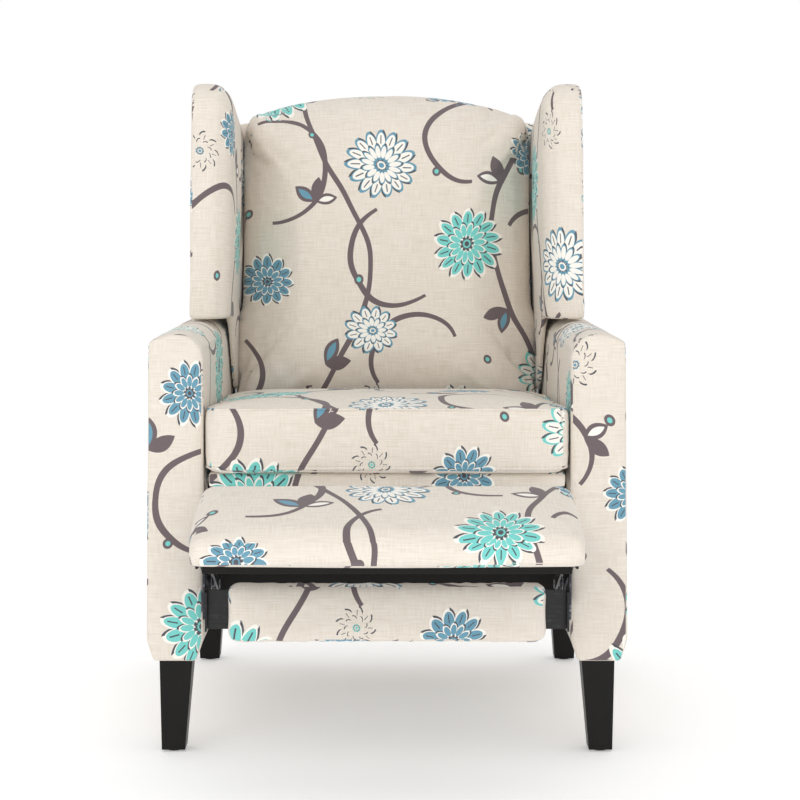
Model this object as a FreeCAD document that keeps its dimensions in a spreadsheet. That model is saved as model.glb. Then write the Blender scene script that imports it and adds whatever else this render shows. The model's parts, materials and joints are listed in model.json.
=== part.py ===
"""Wingback push-back recliner with its footrest out, as a parametric assembly.

Millimetres. X is to the sitter's left, Y runs from front to rear and Z is up, so the chair faces -Y.
The origin is on the floor, under the middle of the chair and its open footrest.
Side views use (reach, height): reach is measured forwards from the plane of the arm fronts.
"""
import FreeCAD, Part
import math
import os
import re
from types import SimpleNamespace

import Sketcher
from FreeCAD import Placement, Rotation, Vector

SIZES = [
    ("origin_depth", 181.66, "origin behind the plane of the arm fronts"),
    ("fit_gap", 0.3, "clearance between a soft piece or a panel and what it lies against"),
    # arms
    ("seat_well", 531, "clear width between the arms"),
    ("arm_width", 78, "arm across its top"),
    ("arm_flare", 2.5, "how much further out the arm stands at its foot"),
    ("arm_underside", 136, "floor to the underside of the arm"),
    ("arm_height", 606, "floor to the crest of the arm"),
    ("arm_crest", 46, "inner face of the arm to its crest"),
    ("arm_fall", 11, "drop from the crest to the outer top corner"),
    ("arm_round", 38, "radius of the inner top edge"),
    ("arm_corner", 9, "radius of the other long edges"),
    ("arm_length", 632, "arm from its front face to its rear end"),
    ("facing_depth", 12, "padded panel on the front of the arm"),
    ("facing_lip", 1, "how far the front panel stands proud of the arm"),
    ("arm_board_depth", 15, "plywood side panel inside the arm"),
    ("arm_board_inset", 32, "inner face of the arm to the plywood panel"),
    ("arm_board_cover", 45, "padding over the top of the plywood panel"),
    ("arm_rail_inset", 15, "inner face of the arm to its bottom rail"),
    ("arm_rail_width", 50, "bottom rail of the arm, across"),
    ("arm_rail_height", 40, "bottom rail of the arm, up"),
    ("arm_rail_end", 16, "padding past each end of the bottom rail"),
    # legs
    ("leg_top", 48, "side of the square leg at its top"),
    ("leg_foot", 34, "side of the square leg at its foot"),
    ("leg_splay", 4, "foot of the leg further out than its top"),
    ("front_leg_set", 40, "arm front to the centre of the front leg's top"),
    ("front_leg_rake", 4, "foot of the front leg further forward than its top"),
    ("rear_leg_set", "arm_length - front_leg_set", "arm front to the centre of the rear leg's top"),
    ("rear_leg_rake", 26, "foot of the rear leg further back than its top"),
    ("glide_height", 3, "nylon glide under the leg"),
    ("glide_radius", 12, "nylon glide under the leg"),
    ("leg_bolt_radius", 4, "hanger bolt of the leg"),
    ("leg_bolt_length", 66, "hanger bolt of the leg"),
    # base rails
    ("rail_depth", 20, "front and rear cross rail, front to back"),
    ("rail_foot", 150, "floor to the underside of the cross rails"),
    ("rail_room", 11, "cross rails to the mechanism plate above them"),
    ("rail_height", "runner_height - plate_height - rail_foot - rail_room", "cross rail, up"),
    ("front_rail_set", 222, "arm front to the front cross rail"),
    ("rear_rail_inset", 60, "rear cross rail to the rear end of the arm"),
    ("rear_rail_set", "arm_length - rear_rail_inset", "arm front to the rear cross rail"),
    ("angle_leg", 38, "leg of the steel angle that holds a rail"),
    ("angle_margin", 13, "steel angle to the top and foot of its rail"),
    ("angle_height", "rail_height - 2 * angle_margin", "steel angle that holds a rail, up"),
    ("steel", 3, "thickness of the steel plates and angles"),
    ("rear_panel_depth", 14, "padded panel behind the rear rail"),
    ("rear_panel_drop", 138, "back hinge to the top of the rear panel"),
    ("rear_panel_top", "hinge_height - rear_panel_drop", "floor to the top of that panel"),
    # seat
    ("runner_height", 359, "floor to the underside of the runner's ledge"),
    ("runner_ledge", 29, "ledge of the runner, across"),
    ("runner_web", 22, "upright leg of the runner above its ledge"),
    ("runner_start", 80, "arm front to the front end of the runner"),
    ("runner_rear_room", 88, "rear end of the runner to the back hinge"),
    ("runner_length", "hinge_set - runner_start - runner_rear_room", "runner, front to back"),
    ("seat_glide_depth", 3, "nylon strip under the seat frame"),
    ("seat_rail_width", 32, "side rail of the seat frame, across"),
    ("seat_rail_height", 20.7, "side rail of the seat frame, up"),
    ("seat_rail_start", 76, "arm front to the front of the seat frame"),
    ("seat_rear_room", 108, "rear of the seat frame to the back hinge"),
    ("seat_frame_length", "hinge_set - seat_rail_start - seat_rear_room", "seat frame, front to back"),
    ("seat_cross_depth", 24, "cross rail of the seat frame, front to back"),
    ("seat_cross_height", 34, "cross rail of the seat frame, up"),
    ("spring_wire", 3.4, "side of the square wire of the sinuous springs"),
    ("spring_bend_radius", 15, "radius of a bend of a sinuous spring"),
    ("spring_bar", 26, "straight bar between two bends"),
    ("spring_pitch", 96, "one sinuous spring to the next"),
    ("clip_depth", 3.5, "steel clip at a spring's end"),
    ("deck_reach", 5, "arm front to the front of the deck, backwards"),
    ("deck_rear_gap", 2, "rear of the deck to the rear of the seat frame"),
    ("deck_length", "seat_rail_start + seat_frame_length - deck_reach - deck_rear_gap", "padded deck, length"),
    ("deck_side_gap", 7.5, "side of the deck to the arm"),
    ("deck_width", "seat_well - 2 * deck_side_gap", "padded deck, across"),
    ("deck_height", 20.5, "padded deck, up"),
    ("deck_round", 9, "radius of the deck's front edge"),
    ("cushion_side_gap", 3.5, "side of the cushion to the arm"),
    ("cushion_width", "seat_well - 2 * cushion_side_gap", "seat cushion, across"),
    ("cushion_front", 18, "seat cushion in front of the arm fronts"),
    ("cushion_rear_gap", 13, "back hinge less the back's padding, to the cushion"),
    ("cushion_length", "cushion_front + hinge_set - back_cushion_depth - cushion_rear_gap", "seat cushion"),
    ("cushion_boxing", 92, "height of the seat cushion's side band"),
    ("cushion_crown", 13, "rise of the seat cushion above its top seam"),
    ("cushion_fall", 22, "how much lower the top seam is at the rear than at the front"),
    ("cushion_corner", 34, "corner of the cushion in plan"),
    ("cushion_draw", 4, "how much the sides draw in between the corners"),
    # back
    ("hinge_inset", 44, "back hinge to the rear end of the arm"),
    ("hinge_set", "arm_length - hinge_inset", "arm front to the back hinge"),
    ("hinge_rise", 73, "runner to the back hinge above it"),
    ("hinge_height", "runner_height + hinge_rise", "floor to the back hinge"),
    ("hinge_cover", 12, "back hinge to the rear face of the back posts"),
    ("back_angle", 8, "lean of the upright back, degrees"),
    ("hinge_room", 16.2, "hinge plate to the outer face of the back post"),
    ("post_inset", "seat_well / 2 - fit_gap - steel - hinge_room", "middle of the chair to the side of a back post"),
    ("post_width", 38, "back post, across"),
    ("post_depth", 24, "back post, front to back"),
    ("post_foot", -130, "hinge to the foot of the posts, along the back"),
    ("post_top_cover", 28, "top of the posts to the shoulder of the outside back"),
    ("post_top", "shell_shoulder - post_top_cover", "hinge to the top of the posts, along the back"),
    ("back_rail_height", 40, "cross rail of the back, along the back"),
    ("back_middle_rail", 40, "hinge to the middle cross rail, along the back"),
    ("webbing_width", 50, "elastic strap of the back"),
    ("webbing_depth", 2, "elastic strap of the back"),
    ("webbing_first", 105, "hinge to the lowest strap, along the back"),
    ("webbing_pitch", 72, "one strap to the next"),
    ("back_side_gap", 15.5, "side of the back's padding to the arm"),
    ("back_cushion_width", "seat_well - 2 * back_side_gap", "padding of the back, across"),
    ("back_cushion_depth", 119, "padding of the back, front to back"),
    ("back_cushion_foot", -6, "hinge to the lower edge of the padding, along the back"),
    ("back_shoulder_rise", 7, "shoulder of the padding above the outside back's"),
    ("back_side_top", "shell_shoulder + back_shoulder_rise", "hinge to the shoulder of the arch"),
    ("back_arch", 30, "rise of the arch of the padding"),
    ("back_arch_top", "back_side_top + back_arch", "hinge to the top of the arch, along the back"),
    ("back_corner", 34, "corner of the back's padding"),
    ("shell_depth", 17.7, "outside back, front to back"),
    ("shell_side_gap", 7.5, "side of the outside back to the arm"),
    ("shell_low_width", "seat_well - 2 * shell_side_gap", "outside back between the arms"),
    ("shell_shoulder", 508, "hinge to the side corner of the outside back, along the back"),
    ("shell_arch", 22, "rise of the arch of the outside back"),
    ("wing_gap", 6.5, "clearance over the arm, under the wing"),
    ("wing_seam", 2.5, "side of the back's padding to the wing"),
    ("wing_start", "back_cushion_width / 2 + wing_seam", "middle of the chair to the inner face of the wing"),
    ("wing_width", 62.5, "wing, across"),
    ("wing_foot_reach", 322, "hinge line to the front of the wing at its foot"),
    ("wing_top_reach", 338, "hinge line to the front of the wing at its top"),
    ("wing_top_rise", 16, "front top corner of the wing above its rear one"),
    ("wing_front_top", "wing_rear_top + wing_top_rise", "hinge to the front top corner of the wing"),
    ("wing_rear_top", "shell_shoulder", "hinge to the rear top corner of the wing, along the back"),
    ("wing_round", 36, "radius of the wing's inner front and top edges"),
    ("wing_nose", 52, "radius of the wing's front top corner"),
    ("wing_corner", 9, "radius of the wing's outer edges"),
    ("wing_board_depth", 15, "plywood inside the wing"),
    ("wing_board_inset", 26, "inner face of the wing to its plywood"),
    ("wing_board_margin", 46, "padding round the plywood of the wing"),
    ("bracket_height", 170, "steel plate on the side of the back post, along the post"),
    ("bracket_width", 24.5, "steel plate on the side of the back post, front to back"),
    ("bracket_rise", 55, "foot of that plate below the hinge"),
    ("hinge_plate_width", 76, "steel plate of the hinge on the arm, front to back"),
    ("hinge_plate_height", 90, "steel plate of the hinge on the arm, up"),
    ("hinge_pin_radius", 6, "pin of the back hinge"),
    # footrest and its linkage
    ("open_reach", 130, "rear top edge of the footrest, open"),
    ("open_rise", 50, "runner to the rear top edge of the footrest, open"),
    ("open_height", "runner_height + open_rise", "rear top edge of the footrest, open"),
    ("open_angle", 13, "fall of the open footrest to the front, degrees"),
    ("closed_reach", 18, "rear top edge of the footrest, closed"),
    ("closed_rise", 19, "runner to the rear top edge of the footrest, closed"),
    ("closed_height", "runner_height + closed_rise", "rear top edge of the footrest, closed"),
    ("pad_side_gap", 12.5, "side of the footrest pad to the line of the arm"),
    ("pad_width", "seat_well - 2 * pad_side_gap", "footrest pad, across"),
    ("pad_length", 205, "footrest pad, rear edge to nose"),
    ("pad_depth", 42, "footrest pad"),
    ("pad_crown", 3, "rise of the pad's top in the middle"),
    ("board_inset", 14, "side of the footrest's plywood to the side of its pad"),
    ("board_width", "pad_width - 2 * board_inset", "plywood under the footrest pad, across"),
    ("board_depth", 12, "plywood under the footrest pad and the lower panel"),
    ("board_margin", 10, "footrest pad past its plywood at the rear"),
    ("board_length", 172, "plywood under the footrest pad, rear to front"),
    ("link_width", 22, "steel link of the footrest, across its flat"),
    ("slim_link_width", 18, "control link of the footrest, across its flat"),
    ("link_pitch", 5, "one layer of links to the next"),
    ("pin_radius", 4, "rivet of the linkage"),
    ("pin_head_radius", 7, "head and collar of a rivet"),
    ("pin_head", 1.5, "thickness of a rivet's head"),
    ("pin_play", 0.2, "end play of a link on its rivet"),
    ("pin_clearance", 0.1, "radial clearance of a link on its rivet"),
    ("loop_clearance", 0.8, "radial clearance at the pivot that closes each loop"),
    ("pivot_reach", -120, "rear link's pivot on the plate"),
    ("pivot_drop", 14, "runner down to the rear link's pivot"),
    ("pivot_height", "runner_height - pivot_drop", "rear link's pivot on the plate"),
    ("rear_link_length", 165, "rear link, pivot to elbow"),
    ("front_link_length", 180, "front link, elbow to footrest"),
    ("knuckle_set", 70, "rear edge of the footrest to its pivot, along the footrest"),
    ("knuckle_drop", 70, "top of the footrest to its pivot"),
    ("tail_back", -8, "elbow to the front link's tail pivot, along the link"),
    ("tail_drop", 29, "elbow to the front link's tail pivot, below the link"),
    ("spur_back", 18, "elbow to the rear link's spur pivot, back along the link"),
    ("spur_drop", 21.5, "elbow to the rear link's spur pivot, below the link"),
    ("heel_back", 27, "footrest pivot to its control pivot, along the footrest"),
    ("heel_drop", 15, "footrest pivot to its control pivot, below it"),
    ("tie_reach", 40, "rear link's pivot to the cross tube"),
    ("tie_radius", 8, "cross tube between the rear links"),
    ("plate_length", 258, "mechanism plate, front to back"),
    ("plate_front", 72, "arm front to the mechanism plate"),
    ("plate_height", 96, "mechanism plate at its front, up"),
    ("plate_tail", 40, "mechanism plate at its rear, up"),
    ("plate_bolt_radius", 6, "head of a plate bolt"),
    ("plate_bolt_head", 3.5, "head of a plate bolt"),
    # lower panel under the footrest
    ("panel_side_gap", 45.5, "side of the lower panel to the line of the arm"),
    ("panel_width", "seat_well - 2 * panel_side_gap", "lower panel, across"),
    ("panel_height", 82, "lower panel, up"),
    ("panel_drop", 171, "runner down to the foot of the lower panel, footrest open"),
    ("panel_foot", "runner_height - panel_drop", "floor to the lower panel, footrest open"),
    ("panel_reach", 92, "rear face of the lower panel's plywood"),
    ("panel_pad", 22, "padding of the lower panel"),
    ("panel_corner", 15, "corner of the lower panel"),
    ("ear_reach", 90, "elbow to the ear of the front link"),
    ("ear_length", 62, "ear of the front link, downwards"),
]

doc = FreeCAD.newDocument("wingback_recliner")


def write_sheet(name, rows):
    """A spreadsheet with one aliased cell per row of (alias, number or formula, note)."""
    sheet = doc.addObject("Spreadsheet::Sheet", name)
    for row, (alias, _, note) in enumerate(rows, start=1):
        sheet.set(f"A{row}", alias)
        sheet.setAlias(f"B{row}", alias)
        sheet.set(f"C{row}", note)
    for row, (_, value, _) in enumerate(rows, start=1):
        sheet.set(f"B{row}", f"={value}" if isinstance(value, str) else str(value))
    doc.recompute()
    return sheet


sizes = write_sheet("sizes", SIZES)
s = SimpleNamespace(**{alias: float(sizes.get(alias)) for alias, _, _ in SIZES})


# Linkage of the footrest, solved in the side view

TRAVEL_STEPS = 12
BEND_SIDES = 5
CORNER_SIDES = 5
EDGE_SIDES = 6


def polar(length, degrees):
    return Vector(length * math.cos(math.radians(degrees)), length * math.sin(math.radians(degrees)), 0)


def turned(vector, degrees):
    return Rotation(Vector(0, 0, 1), degrees).multVec(vector)


def heading(vector):
    return math.degrees(math.atan2(vector.y, vector.x))


def elbow_of(start, end, first, second):
    """Where two links of these lengths meet, on the lower side of the line from start to end."""
    line = end - start
    along = (first ** 2 - second ** 2 + line.Length ** 2) / (2 * line.Length)
    aside = math.sqrt(first ** 2 - along ** 2)
    unit = line / line.Length
    return start + unit * along + Vector(unit.y, -unit.x, 0) * aside


def centre_of(one, two, three):
    """Centre of the circle through three points."""
    return Part.Arc(one, two, three).toShape().Curve.Center


knuckle = Vector(s.knuckle_set, -s.knuckle_drop, 0)
edges = [Vector(s.open_reach, s.open_height, 0), Vector(s.closed_reach, s.closed_height, 0)]
slopes = [-s.open_angle, -90.0]
pivot = Vector(s.pivot_reach, s.pivot_height, 0)
knuckles = [edge + turned(knuckle, slope) for edge, slope in zip(edges, slopes)]
elbows = [elbow_of(pivot, end, s.rear_link_length, s.front_link_length) for end in knuckles]
rear_angles = [heading(elbow - pivot) for elbow in elbows]
front_angles = [heading(end - elbow) for elbow, end in zip(elbows, knuckles)]
tail = Vector(s.tail_back, -s.tail_drop, 0)
spur = Vector(-s.spur_back, -s.spur_drop, 0)
heel = Vector(-s.heel_back, -s.heel_drop, 0)


def blend(ends, share):
    return ends[0] + (ends[1] - ends[0]) * share


def linkage_at(share):
    """Pivots of the linkage, from 0 with the footrest open to 1 with it closed."""
    rear, front, slope = (blend(ends, share) for ends in (rear_angles, front_angles, slopes))
    elbow = pivot + polar(s.rear_link_length, rear)
    knuckle_point = elbow + polar(s.front_link_length, front)
    return SimpleNamespace(
        elbow=elbow,
        knuckle=knuckle_point,
        tail=elbow + turned(tail, front),
        spur=elbow + turned(spur, rear),
        heel=knuckle_point + turned(heel, slope),
    )


opened, halfway, closed = (linkage_at(share) for share in (0, 0.5, 1))
guide_pivot = centre_of(opened.tail, halfway.tail, closed.tail)
guide_length = (opened.tail - guide_pivot).Length
control_length = (opened.heel - opened.spur).Length
guide_angles = [heading(pose.tail - guide_pivot) for pose in (opened, closed)]
control_angles = [heading(pose.heel - pose.spur) for pose in (opened, closed)]
loop_errors = [0.0, 0.0]
for step in range(TRAVEL_STEPS + 1):
    pose = linkage_at(step / TRAVEL_STEPS)
    guide_end = guide_pivot + polar(guide_length, blend(guide_angles, step / TRAVEL_STEPS))
    control_end = pose.spur + polar(control_length, blend(control_angles, step / TRAVEL_STEPS))
    loop_errors[0] = max(loop_errors[0], (guide_end - pose.tail).Length)
    loop_errors[1] = max(loop_errors[1], (control_end - pose.heel).Length)
print("loop errors, mm:", [round(error, 3) for error in loop_errors])

LINKAGE = [
    ("guide_link_length", guide_length, "guide link, plate to the front link's tail"),
    ("control_link_length", control_length, "control link, spur to heel"),
    ("tail_length", tail.Length, "tail of the front link"),
    ("spur_length", spur.Length, "spur of the rear link"),
]
linkage = write_sheet("linkage", LINKAGE)
for alias, number, _ in LINKAGE:
    setattr(s, alias, number)


# Helpers

SHEET_OF = {alias: "sizes" for alias, _, _ in SIZES}
SHEET_OF.update({alias: "linkage" for alias, _, _ in LINKAGE})
nodes = {}

UPRIGHT = Rotation()
ALONG_X = Rotation(Vector(0, 1, 0), 90)
CHAIR = Placement(Vector(0, -s.origin_depth, 0), UPRIGHT)


def side_frame(point, degrees):
    """Frame whose Y points along a link at this angle of the side view, and whose Z points below it."""
    return CHAIR.multiply(Placement(Vector(0, -point.x, point.y), Rotation(Vector(1, 0, 0), 180 - degrees)))


HINGE = CHAIR.multiply(
    Placement(Vector(0, s.hinge_set, s.hinge_height), Rotation(Vector(1, 0, 0), -s.back_angle))
)
BACK = HINGE.multiply(Placement(Vector(0, s.hinge_cover, 0), UPRIGHT))
FOOTREST = side_frame(edges[0], slopes[0])


def bound(formula):
    """The formula with every size written as a reference to its cell."""
    return re.sub(
        r"[a-z_]+", lambda word: f"{SHEET_OF[word[0]]}.{word[0]}" if word[0] in SHEET_OF else word[0], formula
    )


def bind(thing, **formulas):
    for name, formula in formulas.items():
        thing.setExpression(name, bound(formula))
    return thing


def spot(frame, x, y, z, rotation=UPRIGHT):
    return frame.multiply(Placement(Vector(x, y, z), rotation))


def node(label, thing):
    """Name a finished piece, which is also its file's name."""
    thing.Label = label
    nodes[label] = thing
    return thing


def box(name, width, depth, height, place):
    """Block from its low corner; its sides are formulas of the sheet."""
    block = doc.addObject("Part::Box", name)
    bind(block, Length=width, Width=depth, Height=height)
    block.Placement = place
    return block


def bar(name, radius, length, place):
    """Round bar from one end; its radius and length are formulas of the sheet."""
    rod = doc.addObject("Part::Cylinder", name)
    bind(rod, Radius=radius, Height=length)
    rod.Placement = place
    return rod


def cut(name, base, *tools):
    piece = base
    for number, tool in enumerate(tools):
        step = doc.addObject("Part::Cut", f"{name}_{number}")
        step.Base = piece
        step.Tool = tool
        piece = step
    return piece


def fuse(name, *things):
    joined = doc.addObject("Part::MultiFuse", name)
    joined.Shapes = list(things)
    joined.Refine = True
    return joined


def group(name, *things):
    several = doc.addObject("Part::Compound", name)
    several.Links = list(things)
    return several


def mirrored(name, thing):
    """The same piece on the other side of the chair."""
    twin = doc.addObject("Part::Mirroring", name)
    twin.Source = thing
    twin.Normal = Vector(1, 0, 0)
    twin.Base = Vector(0, 0, 0)
    return twin


def both_sides(name, thing):
    return group(name, thing, mirrored(f"{name}_mirror", thing))


def solid(name, shape, place):
    piece = doc.addObject("Part::Feature", name)
    piece.Shape = shape
    piece.Placement = place
    return piece


def new_body(name):
    return doc.addObject("PartDesign::Body", name)


def new_sketch(body, role, name):
    plane = [feature for feature in body.Origin.OriginFeatures if feature.Role == role][0]
    sketch = body.newObject("Sketcher::SketchObject", name)
    sketch.AttachmentSupport = [(plane, "")]
    sketch.MapMode = "FlatFace"
    return sketch


def pin_down(sketch, geometry, point, across, up):
    """Fix a point of the sketch by two formulas of the sheet."""
    for kind, formula in (("DistanceX", across), ("DistanceY", up)):
        index = sketch.addConstraint(Sketcher.Constraint(kind, -1, 1, geometry, point, 1.0))
        sketch.setExpression(f"Constraints[{index}]", bound(formula))


def polygon(sketch, corners):
    """Closed outline through corners given as formulas."""
    count = len(corners)
    start = [polar(100, 360 * number / count) for number in range(count)]
    for number in range(count):
        sketch.addGeometry(Part.LineSegment(start[number], start[(number + 1) % count]), False)
    for number in range(count):
        sketch.addConstraint(Sketcher.Constraint("Coincident", number, 2, (number + 1) % count, 1))
    for number, (across, up) in enumerate(corners):
        pin_down(sketch, number, 1, across, up)


def pad(body, sketch, name, length):
    feature = body.newObject("PartDesign::Pad", name)
    feature.Profile = sketch
    return bind(feature, Length=length)


def fillet(body, base, name, radius, chosen):
    """Round those edges of the base for which chosen(middle, direction) is true."""
    doc.recompute()
    names = []
    for number, edge in enumerate(base.Shape.Edges, start=1):
        ends = [vertex.Point for vertex in edge.Vertexes]
        if len(ends) == 2 and chosen((ends[0] + ends[1]) / 2, (ends[1] - ends[0]).normalize()):
            names.append(f"Edge{number}")
    feature = body.newObject("PartDesign::Fillet", name)
    feature.Base = (base, names)
    return bind(feature, Radius=radius)


def near(one, two, within=3.0):
    return abs(one - two) < within


def plate(name, corners, length, place):
    """Flat plate with its outline in the side plane."""
    body = new_body(name)
    sketch = new_sketch(body, "YZ_Plane", f"{name}_outline")
    polygon(sketch, corners)
    pad(body, sketch, f"{name}_pad", length)
    body.Placement = place
    return body


def drill(body, name, holes):
    """Round holes through a body that was drawn in the side plane: (y, z, radius formula)."""
    sketch = new_sketch(body, "YZ_Plane", name)
    for number, (y, z, radius) in enumerate(holes):
        sketch.addGeometry(Part.Circle(Vector(y, z, 0), Vector(0, 0, 1), s.pin_radius), False)
        sketch.addConstraint(Sketcher.Constraint("DistanceX", -1, 1, number, 3, y))
        sketch.addConstraint(Sketcher.Constraint("DistanceY", -1, 1, number, 3, z))
        index = sketch.addConstraint(Sketcher.Constraint("Radius", number, s.pin_radius))
        sketch.setExpression(f"Constraints[{index}]", bound(radius))
    pocket = body.newObject("PartDesign::Pocket", f"{name}_cut")
    pocket.Profile = sketch
    pocket.Type = "ThroughAll"
    pocket.Midplane = True


# Rings for the soft pieces: four sides, each a shallow arc, and four corner arcs, all in flat facets

def ring(half, low, high, corner, draw, rise, to_point):
    """Points round a soft piece. Sides draw in by draw, and the high side arches by rise."""
    lean = corner * (1 - math.sqrt(0.5))
    corners = [
        ((half - corner, low), (half - lean, low + lean), (half, low + corner)),
        ((half, high - corner), (half - lean, high - lean), (half - corner, high)),
        ((corner - half, high), (lean - half, high - lean), (-half, high - corner)),
        ((-half, low + corner), (lean - half, low + lean), (corner - half, low)),
    ]
    middle = (low + high) / 2
    sides = [(half - draw, middle), (0, high + rise), (draw - half, middle), (0, low + draw)]
    points = []
    for number, bend in enumerate(corners):
        side = (bend[2], sides[number], corners[(number + 1) % 4][0])
        for through, count in ((bend, CORNER_SIDES), (side, EDGE_SIDES)):
            arc = Part.Arc(*(Vector(*point, 0) for point in through)).toShape()
            points += [to_point(point.x, point.y) for point in arc.discretize(count + 1)[:-1]]
    return points


def loft(rings):
    """Solid of flat facets between rings of equally many points."""
    faces = [Part.Face(Part.makePolygon([*end, end[0]])) for end in (rings[0], rings[-1])]
    for low, high in zip(rings, rings[1:]):
        for number, start in enumerate(low):
            beside = (number + 1) % len(low)
            over, across, end = high[number], high[beside], low[beside]
            for corners in ((start, end, across, start), (start, across, over, start)):
                faces.append(Part.Face(Part.makePolygon(corners)))
    shape = Part.Solid(Part.Shell(faces))
    return (shape if shape.Volume > 0 else shape.reversed()).removeSplitter()


arm_inner = s.seat_well / 2
plate_face = arm_inner - s.fit_gap - s.steel


# Arms

def arm_profile(body, name, lip):
    """Section of the arm seen from the front, lip proud all round."""
    sketch = new_sketch(body, "XZ_Plane", name)
    polygon(sketch, [
        (f"-{lip}", f"arm_underside - {lip}"),
        (f"arm_width + arm_flare + {lip}", f"arm_underside - {lip}"),
        (f"arm_width + {lip}", f"arm_height - arm_fall + {lip}"),
        ("arm_crest", f"arm_height + {lip}"),
        (f"-{lip}", f"arm_height + {lip}"),
    ])
    return sketch


def arm_solid(name, length, lip):
    """Upholstered arm or its front panel: a padded profile with a big round inner top edge."""
    body = new_body(name)
    base = pad(body, arm_profile(body, f"{name}_profile", lip), f"{name}_length", length)
    base.Reversed = True
    proud = 0 if lip == "0" else s.facing_lip
    top = fillet(body, base, f"{name}_top", f"arm_round + {lip}", lambda middle, way: (
        abs(way.y) > 0.9 and near(middle.x, -proud) and near(middle.z, s.arm_height + proud)))
    fillet(body, top, f"{name}_edges", "arm_corner", lambda middle, way: (
        abs(way.y) > 0.9 and (middle.z < s.arm_underside + 1 or near(middle.x, s.arm_width + proud))))
    return body


def make_arms():
    facing = arm_solid("arm_front_panel_left", "facing_depth", "facing_lip")
    facing.Placement = spot(CHAIR, arm_inner, 0, 0)
    node("arm_front_panel_left", facing)
    node("arm_front_panel_right", mirrored("arm_front_panel_right", facing))

    padding = arm_solid("arm_padding", "arm_length - facing_depth", "0")
    padding.Placement = spot(CHAIR, arm_inner, s.facing_depth, 0)
    rail_x = arm_inner + s.arm_rail_inset
    rail_room = box(
        "arm_rail_room", "arm_rail_width + 2 * fit_gap", "arm_length - 2 * arm_rail_end + 2 * fit_gap",
        "arm_rail_height + fit_gap",
        spot(CHAIR, rail_x - s.fit_gap, s.arm_rail_end - s.fit_gap, s.arm_underside),
    )
    board_x = arm_inner + s.arm_board_inset
    board_y = 2 * s.arm_rail_end
    board_room = box(
        "arm_board_room", "arm_board_depth + 2 * fit_gap", "arm_length - 4 * arm_rail_end + 2 * fit_gap",
        "arm_height - arm_board_cover - arm_underside + fit_gap",
        spot(CHAIR, board_x - s.fit_gap, board_y - s.fit_gap, s.arm_underside),
    )
    left = node("arm_left", cut("arm_left", padding, rail_room, board_room))
    node("arm_right", mirrored("arm_right", left))

    board = box(
        "arm_side_board", "arm_board_depth", "arm_length - 4 * arm_rail_end",
        "arm_height - arm_board_cover - arm_underside - arm_rail_height",
        spot(CHAIR, board_x, board_y, s.arm_underside + s.arm_rail_height),
    )
    node("arm_side_boards", both_sides("arm_side_boards", board))
    rail = box(
        "arm_rail", "arm_rail_width", "arm_length - 2 * arm_rail_end", "arm_rail_height",
        spot(CHAIR, rail_x, s.arm_rail_end, s.arm_underside),
    )
    holes = [leg_bolt(f"arm_rail_hole_{number}", y, "fit_gap / 6") for number, y in enumerate(LEG_SETS)]
    node("arm_bottom_rails", both_sides("arm_bottom_rails", cut("arm_rail_drilled", rail, *holes)))


# Legs, their hanger bolts and glides

LEG_SETS = [s.front_leg_set, s.rear_leg_set]
leg_x = arm_inner + s.arm_rail_inset + s.arm_rail_width / 2


def leg_bolt(name, y, slack):
    place = spot(CHAIR, leg_x, y, s.arm_underside - s.leg_bolt_length / 2)
    return bar(name, f"leg_bolt_radius + {slack}", "leg_bolt_length", place)


def tapered_leg(name, y, rake):
    """Square leg, drawn down to its foot."""
    leg = doc.addObject("Part::Wedge", name)
    bind(
        leg,
        Xmin="-leg_top / 2", Xmax="leg_top / 2", Zmin="-leg_top / 2", Zmax="leg_top / 2",
        X2min="leg_splay - leg_foot / 2", X2max="leg_splay + leg_foot / 2",
        Z2min=f"{rake} - leg_foot / 2", Z2max=f"{rake} + leg_foot / 2",
        Ymin="0", Ymax="arm_underside - glide_height",
    )
    leg.Placement = spot(CHAIR, leg_x, y, s.arm_underside, Rotation(Vector(1, 0, 0), -90))
    return cut(f"{name}_drilled", leg, leg_bolt(f"{name}_hole", y, "fit_gap / 6"))


def make_legs():
    for row, y, rake, shift in (
        ("front", s.front_leg_set, "-front_leg_rake", -s.front_leg_rake),
        ("rear", s.rear_leg_set, "rear_leg_rake", s.rear_leg_rake),
    ):
        leg = node(f"{row}_leg_left", tapered_leg(f"{row}_leg_left", y, rake))
        node(f"{row}_leg_right", mirrored(f"{row}_leg_right", leg))
        glide = doc.addObject("Part::Cone", f"{row}_glide")
        bind(glide, Radius1="glide_radius - glide_height / 2", Radius2="glide_radius", Height="glide_height")
        glide.Placement = spot(CHAIR, leg_x + s.leg_splay, y + shift, 0)
    node("leg_glides", group("leg_glides", *(
        both_sides(f"{row}_glides", doc.getObject(f"{row}_glide")) for row in ("front", "rear"))))
    node("leg_bolts", group("leg_bolts", *(
        both_sides(f"leg_bolts_{number}", leg_bolt(f"leg_bolt_{number}", y, "0"))
        for number, y in enumerate(LEG_SETS))))


# Cross rails of the base, the panel behind them and the angles that hold them

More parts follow.
